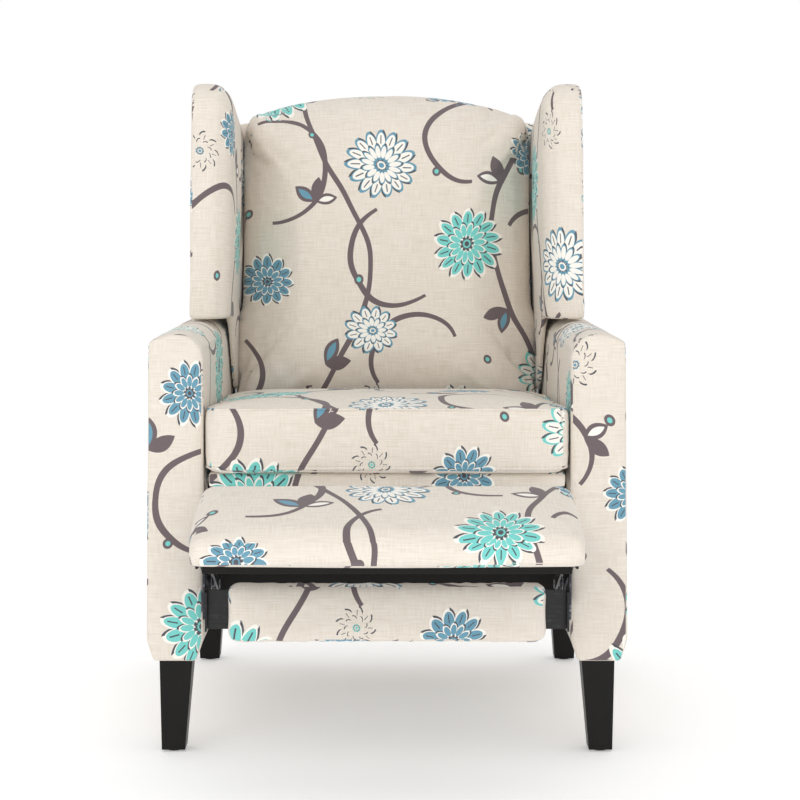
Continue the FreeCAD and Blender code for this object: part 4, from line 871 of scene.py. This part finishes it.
@dataclass
class SeatCushion:
    """Loose boxed cushion with a sewn cord on both seams."""

    cloth: bpy.types.Material
    voxel: float = 0.0052
    cord: float = 0.0023
    side_room: float = 0.2646
    front_room: float = 0.012
    rear_room: float = 0.0065
    lower_seam: float = 0.007
    upper_seam: float = 0.092
    pressure: float = 4.0
    reach: float = 0.016
    fall: float = 0.022
    gather: tuple[float, float] = (0.034, 0.0022)
    pucker: tuple[float, float] = (0.012, 0.0006)
    seam_points: int = 140

    def build(self) -> None:
        """Model, stuff, gather, cut and dress the cushion and its cords."""
        low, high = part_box("seat_cushion")
        bottom = low.z + self.lower_seam

        def top(y: float) -> float:
            """Height of the top seam at this distance from front to rear."""
            return low.z + self.upper_seam - self.fall * (y - low.y) / (high.y - low.y)

        piece = copy_solid("seat_cushion_cover", "seat_cushion")
        remesh(piece, self.voxel)
        stuff(piece, self.pressure, self.reach, lambda point: point.z < low.z + 0.009 or (
            abs(point.z - top(point.y)) < 0.0045 and self._near_side(point, low, high)))
        relax(piece, 3)

        def finish(point: Vector, normal: Vector) -> Vector:
            """Gather the side band, draw in its seams and keep clear of the neighbours."""
            seam = top(point.y)
            band = smooth_step(point.z, bottom, bottom + 0.02) * (1 - smooth_step(point.z, seam - 0.02, seam))
            if abs(normal.z) < 0.6:
                way = Vector(X) if abs(normal.y) > abs(normal.x) else Vector(Y)
                gather = fold(point, way, self.gather[0], 3.7) * self.gather[1]
                gather += fold(point, way, self.pucker[0], 9.1) * self.pucker[1]
                point = point + normal * (gather * (1 - 0.5 * band) + 0.0015 * band)
            else:
                point = point + normal * noise.noise(Vector((point.x * 7, point.y * 7, 1.3))) * 0.0016
            point.x = max(-self.side_room, min(self.side_room, point.x))
            point.y = max(low.y - self.front_room, min(high.y + self.rear_room, point.y))
            point.z = max(low.z, point.z)
            return point

        shape(piece, finish)
        cut_cloth(piece, [
            *sides("front", shift=(0.31, 0.10)), *sides("rear", shift=(0.1, 0.3)),
            *sides("left", shift=(0.2, 0.2)), *sides("right", shift=(0.4, 0.2)),
            *sides("top", shift=(0.30, 0.47)), Panel(MINUS_Z, X, MINUS_Y),
        ])
        dress(piece, self.cloth, "seat", "seat_cushion")
        tree = skin_of(piece)
        for label, level, radius in (
            ("top", top, self.cord * 0.8), ("bottom", lambda _: bottom + 0.001, self.cord),
        ):
            cord = tube(f"seat_cushion_{label}_cord", self._seam(tree, low, high, level), radius)
            cut_cloth(cord, [*sides("front", shift=(0.31, 0.10)), *sides("left"), Panel(MINUS_X, Y, Z)])
            dress(cord, self.cloth, "seat")

    @staticmethod
    def _near_side(point: Vector, low: Vector, high: Vector) -> bool:
        """Whether a point lies close to the cushion's outline."""
        return min(point.x - low.x, high.x - point.x, point.y - low.y, high.y - point.y) < 0.012

    def _seam(
        self, tree: BVHTree, low: Vector, high: Vector, level: Callable[[float], float],
    ) -> list[Vector]:
        """Line of a seam round the cushion, found on its skin.

        Args:
            tree: The cushion's surface.
            low: Lowest corner of its solid.
            high: Highest corner of its solid.
            level: Height of the seam at a distance from front to rear.

        Returns:
            Points a centimetre or two apart.
        """
        middle = (low + high) / 2
        half_x, half_y = (high.x - low.x) / 2, (high.y - low.y) / 2
        outline: list[Vector] = []
        for number in range(self.seam_points):
            angle = 2 * math.pi * number / self.seam_points
            away = Vector((math.cos(angle), math.sin(angle), 0))
            reach = 1 / max(abs(away.x) / half_x, abs(away.y) / half_y)
            height = level(middle.y + away.y * reach)
            centre = Vector((middle.x, middle.y, height))
            spot, _, _, _ = tree.ray_cast(centre + away * (reach + 0.2), -away)
            spot = spot if spot is not None else centre + away * reach
            outline.append(spot + away * self.cord * 0.35)
        limit = self.side_room - self.cord * 0.2
        for spot in outline:
            spot.x = max(-limit, min(limit, spot.x))
            spot.y = min(high.y + 0.004, spot.y)
        return outline


@dataclass
class BackRest:
    """Arched padding of the back, its outside panel and the wings."""

    cloth: bpy.types.Material
    voxel: float = 0.0054
    lean: float = math.radians(8)
    side_room: float = 0.2518
    low_bulge: float = 0.0092
    pressure: float = 4.0
    reach: float = 0.022
    arch_lift: float = 0.007
    brow_height: float = 0.46
    arch_pull: float = 0.6
    side_pull: float = 0.35
    wing_crown: float = 0.006
    wing_lift: float = 0.0045
    pivot: tuple[float, float] = (0.40634, 0.432)
    cover: float = 0.012
    arm_room: float = 0.2642
    tuck_drop: float = 0.13

    def along(self, point: Vector) -> tuple[float, float]:
        """Distance behind the posts and height up the back of a point."""
        y, z = point.y - self.pivot[0], point.z - self.pivot[1]
        back = y * math.cos(self.lean) - z * math.sin(self.lean) - self.cover
        return back, y * math.sin(self.lean) + z * math.cos(self.lean)

    def padding(self) -> None:
        """The arched padding, stuffed and drawn in along its edges."""
        piece = copy_solid("back_padding_cover", "back_cushion")
        remesh(piece, self.voxel)
        stuff(piece, self.pressure, self.reach, lambda point: self.along(point)[0] > -0.055)
        relax(piece, 4)

        def finish(point: Vector, normal: Vector) -> Vector:
            """Loosen the cover a little and keep it between the wings."""
            _, up = self.along(point)
            broad = noise.noise(Vector((point.x * 6, point.z * 6, 5.1)))
            tuck = smooth_step(0.11, 0.02, up) if up < 0.11 else 0.0
            gather = fold(point, Vector(X), 0.05, 6.2) * 0.0028 * tuck
            point = point + normal * (broad * 0.0018 + gather)
            if normal.z > 0.3 and up > 0.4:
                point += Vector((0, 0, self.arch_lift * normal.z))
            point.x = max(-self.side_room, min(self.side_room, point.x))
            low = smooth_step(0.20 - up, 0.01, 0.05) * smooth_step(abs(point.x), 0.20, 0.245)
            point.x += math.copysign(self.low_bulge * low, point.x)
            return point

        shape(piece, finish)
        up_back = (0, math.sin(self.lean), math.cos(self.lean))
        depth = Vector((0, math.cos(self.lean), -math.sin(self.lean)))
        points = [vertex.co for vertex in piece.data.vertices]
        brow = min(point.dot(depth) for point in points if self.along(point)[1] > self.brow_height)
        cut_cloth(piece, [
            Panel((0, -1, 0.14), X, up_back, (0.31, 0.02)),
            Panel((0, 0.14, 1), X, tuple(Vector(up_back) + depth), (0.31, 0.02 - brow), self.arch_pull),
            *sides("left", "right", pull=self.side_pull), *sides("rear", "bottom"),
        ])
        dress(piece, self.cloth, "back", "back_cushion")

    def outside(self) -> None:
        """Flat cloth panel across the rear of the back."""
        piece = copy_solid("outside_back_cover", "outside_back")
        remesh(piece, 0.005)
        relax(piece, 5)

        def finish(point: Vector, normal: Vector) -> Vector:
            """Let the cloth stand off its board by a millimetre or so."""
            return point + normal * 0.0010 * (1 + noise.noise(Vector((point.x * 5, point.z * 5, 2.0))))

        shape(piece, finish)
        cut_cloth(piece, [
            *sides("rear", shift=(0.12, 0.2)), *sides("front", "left", "right"), Panel(Z, MINUS_X, Y),
            *sides("bottom"),
        ])
        dress(piece, self.cloth, "back", "outside_back")

    def wing(self, side: float, shift: tuple[float, float]) -> None:
        """One padded wing.

        Args:
            side: Which side of the chair, as the sign of X.
            shift: Where its cloth sits in the print.
        """
        hand = "left" if side > 0 else "right"
        piece = copy_solid(f"wing_{hand}_cover", f"wing_{hand}")
        low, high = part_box(f"wing_{hand}")
        inner = low.x if side > 0 else high.x
        remesh(piece, 0.0048)
        relax(piece, 4)

        def finish(point: Vector, normal: Vector) -> Vector:
            """Crown the inner face, round the rim and tuck the cover down beside the arm."""
            back, up = self.along(point)
            middle = math.sin(math.pi * min(1.0, max(0.0, (up - 0.18) / 0.34)))
            depth = math.sin(math.pi * min(1.0, max(0.0, -back / 0.33)))
            crown = self.wing_crown * middle * depth if normal.x * side < -0.5 else 0.0012
            loose = swell(point, 8, 4.0 + side) * 0.0012
            peak = self.wing_lift * max(0.0, normal.z) if up > 0.42 else 0.0
            moved = point + normal * (crown + loose + peak)
            if (moved.x - inner) * side < -0.0035 and back > -0.15:
                moved.x = inner - side * 0.0003
            if normal.z < -0.25 and abs(point.x) < self.arm_room:
                moved.z -= self.tuck_drop * smooth_step(back, -0.25, -0.09)
                moved.x = side * min(self.arm_room, abs(moved.x))
            return moved

        shape(piece, finish)
        lie = math.cos(self.lean), math.sin(self.lean)
        rise = (0, lie[1], lie[0])
        cut_cloth(piece, [
            Panel((-side, 0, 0), (side, -lie[0], lie[1]), rise, shift),
            Panel((0, -1, 0.14), (side, -lie[0], lie[1]), rise, shift),
            Panel((side, 0, 0), (0, lie[0], -lie[1]), rise, (shift[0] + 0.2, shift[1] + 0.11)),
            Panel((0, 0.1, 1), (0, -lie[0], lie[1]), (side, lie[1], lie[0]), shift),
            Panel(Y, X, rise), *sides("bottom"),
        ])
        dress(piece, self.cloth, "back", f"wing_{hand}")

    def build(self) -> None:
        """Make all that the back carries."""
        self.padding()
        self.outside()
        self.wing(LEFT, (0.05, 0.21))
        self.wing(RIGHT, (0.36, 0.02))


@dataclass
class Arm:
    """One upholstered arm with its padded front panel."""

    cloth: bpy.types.Material
    side: float
    shift: tuple[float, float]
    seam_height: float = 0.372
    foot_height: float = 0.036
    foot_tuck: float = 0.0085
    fullness: float = 0.0055

    @property
    def hand(self) -> str:
        """Name of this side."""
        return "left" if self.side > 0 else "right"

    def draw_in(self, point: Vector, low: Vector, high: Vector) -> Vector:
        """Draw the foot of the arm in towards its middle, as the cloth is pulled under it."""
        share = 1 - smooth_step(point.z, low.z, low.z + self.foot_height)
        centre = (low.x + high.x) / 2
        half = (high.x - low.x) / 2
        edge = (point.x - centre) / half
        point.x -= self.foot_tuck * share * edge * abs(edge)
        return point

    def padding(self) -> None:
        """The long padded body of the arm."""
        piece = copy_solid(f"arm_{self.hand}_cover", f"arm_{self.hand}")
        low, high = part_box(f"arm_{self.hand}")
        inner = low.x if self.side > 0 else high.x
        remesh(piece, 0.0055)
        relax(piece, 5)

        def finish(point: Vector, normal: Vector) -> Vector:
            """Let the cover swell a little on top and outside, and never on the inner face."""
            loose = swell(point, 6, 8.0 + self.side) * 0.0010
            full = 0.0022 if normal.z > 0.4 or normal.x * self.side > 0.5 else 0.0
            moved = point + normal * (full + loose * (1 if full else 0.3))
            if (moved.x - inner) * self.side < 0.0:
                moved.x = inner
            moved.z = max(low.z, moved.z)
            return self.draw_in(moved, low, high)

        shape(piece, finish)
        wrap = (self.side, 0, 1)
        cut_cloth(piece, [
            Panel((-self.side, 0, 0), (0, -self.side, 0), wrap, self.shift),
            Panel(Z, (0, -self.side, 0), wrap, self.shift),
            Panel((self.side, 0, 0), (0, self.side, 0), Z, (self.shift[0] + 0.13, self.shift[1] + 0.2)),
            *sides("rear", "front", "bottom"),
        ])
        dress(piece, self.cloth, "base", f"arm_{self.hand}")

    def front(self) -> None:
        """The padded panel on the front of the arm, with its edge seam."""
        node = f"arm_front_panel_{self.hand}"
        piece = copy_solid(f"{node}_cover", node)
        low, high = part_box(node)
        centre = (low.x + high.x) / 2
        remesh(piece, 0.0032)
        relax(piece, 6)

        def finish(point: Vector, normal: Vector) -> Vector:
            """Pad the face of the panel, fullest along its middle."""
            if normal.y > -0.2:
                return self.draw_in(point, low, high)
            across = 1 - min(1.0, abs(point.x - centre) / ((high.x - low.x) / 2)) ** 4
            ends = min(1.0, (high.z - point.z) / 0.04, (point.z - low.z) / 0.03)
            seam = 0.0022 * math.exp(-((point.z - self.seam_height) / 0.0022) ** 2)
            full = self.fullness * across * max(0.0, ends) - seam
            return self.draw_in(point + Vector(MINUS_Y) * full, low, high)

        shape(piece, finish)
        shift = (self.shift[0] + 0.07, self.shift[1] + 0.33)
        cut_cloth(piece, [
            *sides("front", shift=shift),
            Panel((-self.side, 0, 0), (1, -self.side, 0), Z, shift),
            Panel((self.side, 0, 0), (1, self.side, 0), Z, shift),
            Panel(Z, X, (0, 1, 1), shift), Panel(Y, X, Z), *sides("bottom"),
        ])
        dress(piece, self.cloth, "base", node)

    def build(self) -> None:
        """Make the arm."""
        self.padding()
        self.front()


@dataclass
class FootRest:
    """Footrest pad and the lower panel that hangs from its links."""

    cloth: bpy.types.Material
    slope: float = math.radians(13)
    pressure: float = 3.0
    reach: float = 0.006
    nose_depth: float = 0.014
    wrinkle: float = 0.0016

    def pad(self) -> None:
        """The plain pad, stuffed, with its corners pulled to small ears."""
        piece = copy_solid("footrest_pad_cover", "footrest_pad")
        low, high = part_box("footrest_pad")
        remesh(piece, 0.0045)
        lie = Vector((0, -math.cos(self.slope), -math.sin(self.slope)))
        rise = Vector((0, -math.sin(self.slope), math.cos(self.slope)))
        stuff(piece, self.pressure, self.reach, lambda point: False, frames=12)
        relax(piece, 3)
        floor = min(vertex.co.dot(rise) for vertex in piece.data.vertices)

        def finish(point: Vector, normal: Vector) -> Vector:
            """Flatten the underside on its board, and wrinkle the ends a little."""
            ends = smooth_step(abs(point.x), high.x - 0.05, high.x)
            gather = fold(point, Vector((0, 1, 0.3)), 0.03, 2.2) * self.wrinkle * ends
            broad = noise.noise(Vector((point.x * 8, point.y * 8, 7.7))) * 0.0014
            moved = point + normal * (gather + broad if normal.dot(rise) > -0.5 else 0.0)
            height = moved.dot(rise) - floor
            return moved - rise * min(0.0, height)

        shape(piece, finish)
        points = [vertex.co for vertex in piece.data.vertices]
        nose = max(point.dot(lie) for point in points)
        brow = max(point.dot(rise) for point in points if point.dot(lie) > nose - self.nose_depth)
        cut_cloth(piece, [
            Panel(tuple(rise), X, tuple(-lie), (0.30, 0.55)),
            Panel(tuple(lie), X, tuple(rise - lie), (0.30, 0.55 - brow)),
            Panel(X, tuple(-lie), tuple(rise)), Panel(MINUS_X, tuple(lie), tuple(rise)),
            Panel(tuple(-lie), X, tuple(rise)), Panel(tuple(-rise), X, tuple(lie)),
        ])
        dress(piece, self.cloth, "footrest", "footrest_pad")

    def lower_panel(self) -> None:
        """The narrow padded panel under the footrest."""
        piece = copy_solid("lower_panel_cover", "lower_panel_pad")
        low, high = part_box("lower_panel_pad")
        remesh(piece, 0.004)
        relax(piece, 4)

        def finish(point: Vector, normal: Vector) -> Vector:
            """Pull small gathers into the edges of the panel."""
            edge = 1 - min(1.0, min(point.z - low.z, high.z - point.z) / 0.02)
            gather = fold(point, Vector(X), 0.026, 1.1) * self.wrinkle * max(0.0, edge)
            return point + normal * (gather + 0.0008) if normal.y < 0.4 else point

        shape(piece, finish)
        cut_cloth(piece, [
            *sides("front", shift=(0.33, 0.31)), Panel(Z, X, (0, 1, 1), (0.33, 0.31)),
            *sides("left", "right", "rear", "bottom"),
        ])
        dress(piece, self.cloth, "front_links", "lower_panel_pad")

    def build(self) -> None:
        """Make both pads."""
        self.pad()
        self.lower_panel()


@dataclass
class Deck:
    """Padded deck under the cushion and the panel behind the rear rail."""

    cloth: bpy.types.Material
    gather: tuple[float, float] = (0.022, 0.0026)

    def build(self) -> None:
        """Make the deck and the rear panel."""
        deck = copy_solid("seat_deck_cover", "seat_deck")
        remesh(deck, 0.0042)
        relax(deck, 3)

        def gathered(point: Vector, normal: Vector) -> Vector:
            """Gather the front edge where the cloth is pulled under."""
            if normal.y > -0.3:
                return point
            deep = fold(point, Vector(X), self.gather[0], 4.4) * self.gather[1]
            return point + Vector(MINUS_Y) * max(-0.001, deep)

        shape(deck, gathered)
        panel = copy_solid("rear_panel_cover", "rear_base_panel")
        remesh(panel, 0.004)
        relax(panel, 4)
        for piece, body, node, shift in (
            (deck, "seat", "seat_deck", (0.31, 0.10)), (panel, "base", "rear_base_panel", (0.12, 0.45)),
        ):
            cut_cloth(piece, [
                *sides("front", "rear", shift=shift), *sides("left", "right"), *sides("top", shift=shift),
                Panel(MINUS_Z, X, MINUS_Y),
            ])
            dress(piece, self.cloth, body, node)


@dataclass
class HardParts:
    """Wood, steel and nylon that keep the solid's own shape."""

    wood_edge: float = 0.0012
    metal_edge: float = 0.0004
    flat_angle: float = math.radians(1)
    edge_angle: float = math.radians(40)
    finishes: dict[str, bpy.types.Material] = field(default_factory=dict)

    def make_finishes(self) -> None:
        """Mix each finish once."""
        lacquer = LacqueredBeech().build()
        pine = BareTimber("sawn_pine", "#D9BE93", "#B9925E", (40.0, 4.0, 60.0)).build()
        ply = BareTimber("birch_plywood", "#D8BC8C", "#A98455", (400.0, 6.0, 30.0)).build()
        paint = Metal("stoved_black_steel", "#101011", "#2C2C2E", 0.55, 0.36, 260.0, 0.25).build()
        bright = Metal("rolled_link_steel", "#34353A", "#7A7C82", 0.92, 0.34, 320.0).build()
        zinc = Metal("zinc_plated_steel", "#8F9297", "#B9BBBE", 1.0, 0.36, 200.0).build()
        wire = Metal("oiled_spring_wire", "#3B3B3D", "#66676A", 0.9, 0.42, 300.0).build()
        self.finishes = {
            "black_lacquered_wood": lacquer, "frame_wood": pine, "plywood": ply, "black_steel": paint,
            "link_steel": bright, "zinc_steel": zinc, "spring_steel": wire,
            "black_nylon": Moulded("black_nylon", "#141414", 0.5, 900.0).build(),
            "white_nylon": Moulded("white_nylon", "#E4E2DA", 0.45, 900.0).build(),
            "elastic_webbing": Moulded("elastic_webbing", "#1B1B1D", 0.9, 500.0).build(),
        }

    def build(self) -> None:
        """Give each hard node its finish and ease its edges."""
        self.make_finishes()
        for row in FRAME["record"]["subparts"]:
            finish = self.finishes.get(row["material_slot"])
            if finish is None:
                continue
            piece = FRAME["nodes"][row["node"]]
            piece.data.materials.clear()
            piece.data.materials.append(finish)
            weld = piece.modifiers.new("weld", "WELD")
            weld.merge_threshold = MERGE
            flat = piece.modifiers.new("flat", "DECIMATE")
            flat.decimate_type = "DISSOLVE"
            flat.angle_limit = self.flat_angle
            bevel = piece.modifiers.new("eased_edge", "BEVEL")
            bevel.width = self.wood_edge if "wood" in row["material_slot"] else self.metal_edge
            bevel.segments = 2
            bevel.limit_method = "ANGLE"
            bevel.angle_limit = self.edge_angle
            bevel.use_clamp_overlap = True
            LOG.info("%s: %s", row["node"], finish.name)


@dataclass
class Studio:
    """White floor and surround, soft light and the photograph's camera."""

    distance: float = 2.82
    height: float = 0.781
    focal_px: float = 1959.0
    frame_px: float = 800.0
    centre_px: tuple[float, float] = (387.0, 213.0)
    arm_fronts: float = -0.18166
    paper: str = "#F3F3F3"
    shade: str = "#EFEFEF"
    glow: float = 0.30
    surround: float = 0.80
    floor_side: float = 60.0

    def floor(self) -> None:
        """Wide white floor that meets the white surround."""
        bpy.ops.object.select_all(action="DESELECT")
        bpy.ops.mesh.primitive_plane_add(size=self.floor_side, location=(0, 0, 0))
        floor = bpy.context.view_layer.objects.active
        floor.name = "studio_floor"
        material, graph = new_material("white_paper")
        grain = graph.add("TexNoise", graph.add("TexCoord", out=3), inputs={"Scale": 3.0, "Detail": 2.0})
        share = graph.add("MapRange", grain, 0.4, 0.6, 0.0, 0.4)
        colour = graph.lay(linear(self.paper), (linear(self.shade), share))
        close_material(
            graph, None, Base_Color=colour, Roughness=0.8, Specular_IOR_Level=0.1,
            Emission_Color=(1.0, 1.0, 1.0, 1.0), Emission_Strength=self.glow)
        floor.data.materials.append(material)

    def light(self) -> None:
        """Three large soft lights and an even white surround."""
        for name, place, aim, size, watts in (
            ("key", (-2.2, -3.6, 3.0), (0, 0, 0.5), 2.4, 20.0),
            ("front", (0.3, -4.6, 1.2), (0, 0, 0.6), 2.2, 48.0),
            ("top", (0.0, 0.4, 4.2), (0, 0, 0), 3.2, 6.0),
        ):
            data = bpy.data.lights.new(name, "AREA")
            data.size, data.energy = size, watts
            lamp = bpy.data.objects.new(name, data)
            bpy.context.scene.collection.objects.link(lamp)
            lamp.location = place
            lamp.rotation_euler = (Vector(aim) - Vector(place)).to_track_quat("-Z", "Y").to_euler()
        world = bpy.data.worlds.new("white_surround")
        bpy.context.scene.world = world
        world.use_nodes = True
        graph = Graph(world.node_tree)
        seen = graph.add("LightPath")
        strength = graph.add("MapRange", seen, 0.0, 1.0, self.surround, 1.0)
        background = graph.add("Background", (1.0, 1.0, 1.0, 1.0), strength)
        graph.add("OutputWorld", background)

    def camera(self) -> None:
        """Straight-on camera whose picture is shifted as the photograph's is."""
        data = bpy.data.cameras.new("photograph")
        data.sensor_width = 36.0
        data.lens = self.focal_px / self.frame_px * data.sensor_width
        half = self.frame_px / 2
        data.shift_x = (half - self.centre_px[0]) / self.frame_px
        data.shift_y = (self.centre_px[1] - half) / self.frame_px
        camera = bpy.data.objects.new("photograph", data)
        bpy.context.scene.collection.objects.link(camera)
        camera.location = (0.0, self.arm_fronts - self.distance, self.height)
        camera.rotation_euler = (math.radians(90), 0, 0)
        bpy.context.scene.camera = camera

    def build(self) -> None:
        """Set up the studio."""
        self.floor()
        self.light()
        self.camera()
        bpy.context.scene.view_settings.view_transform = "Standard"


def main() -> None:
    """Build the studio, then each sub-assembly in the order that the chair is made."""
    logging.basicConfig(level=logging.INFO, format="%(message)s")
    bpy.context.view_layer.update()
    Studio().build()
    HardParts().build()
    cloth = PrintedLinen().build()
    for arm in (Arm(cloth, LEFT, (0.30, 0.02)), Arm(cloth, RIGHT, (0.02, 0.27))):
        arm.build()
    BackRest(cloth).build()
    Deck(cloth).build()
    SeatCushion(cloth).build()
    FootRest(cloth).build()
    bpy.ops.object.select_all(action="DESELECT")


if __name__ == "__main__":
    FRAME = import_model()
    main()
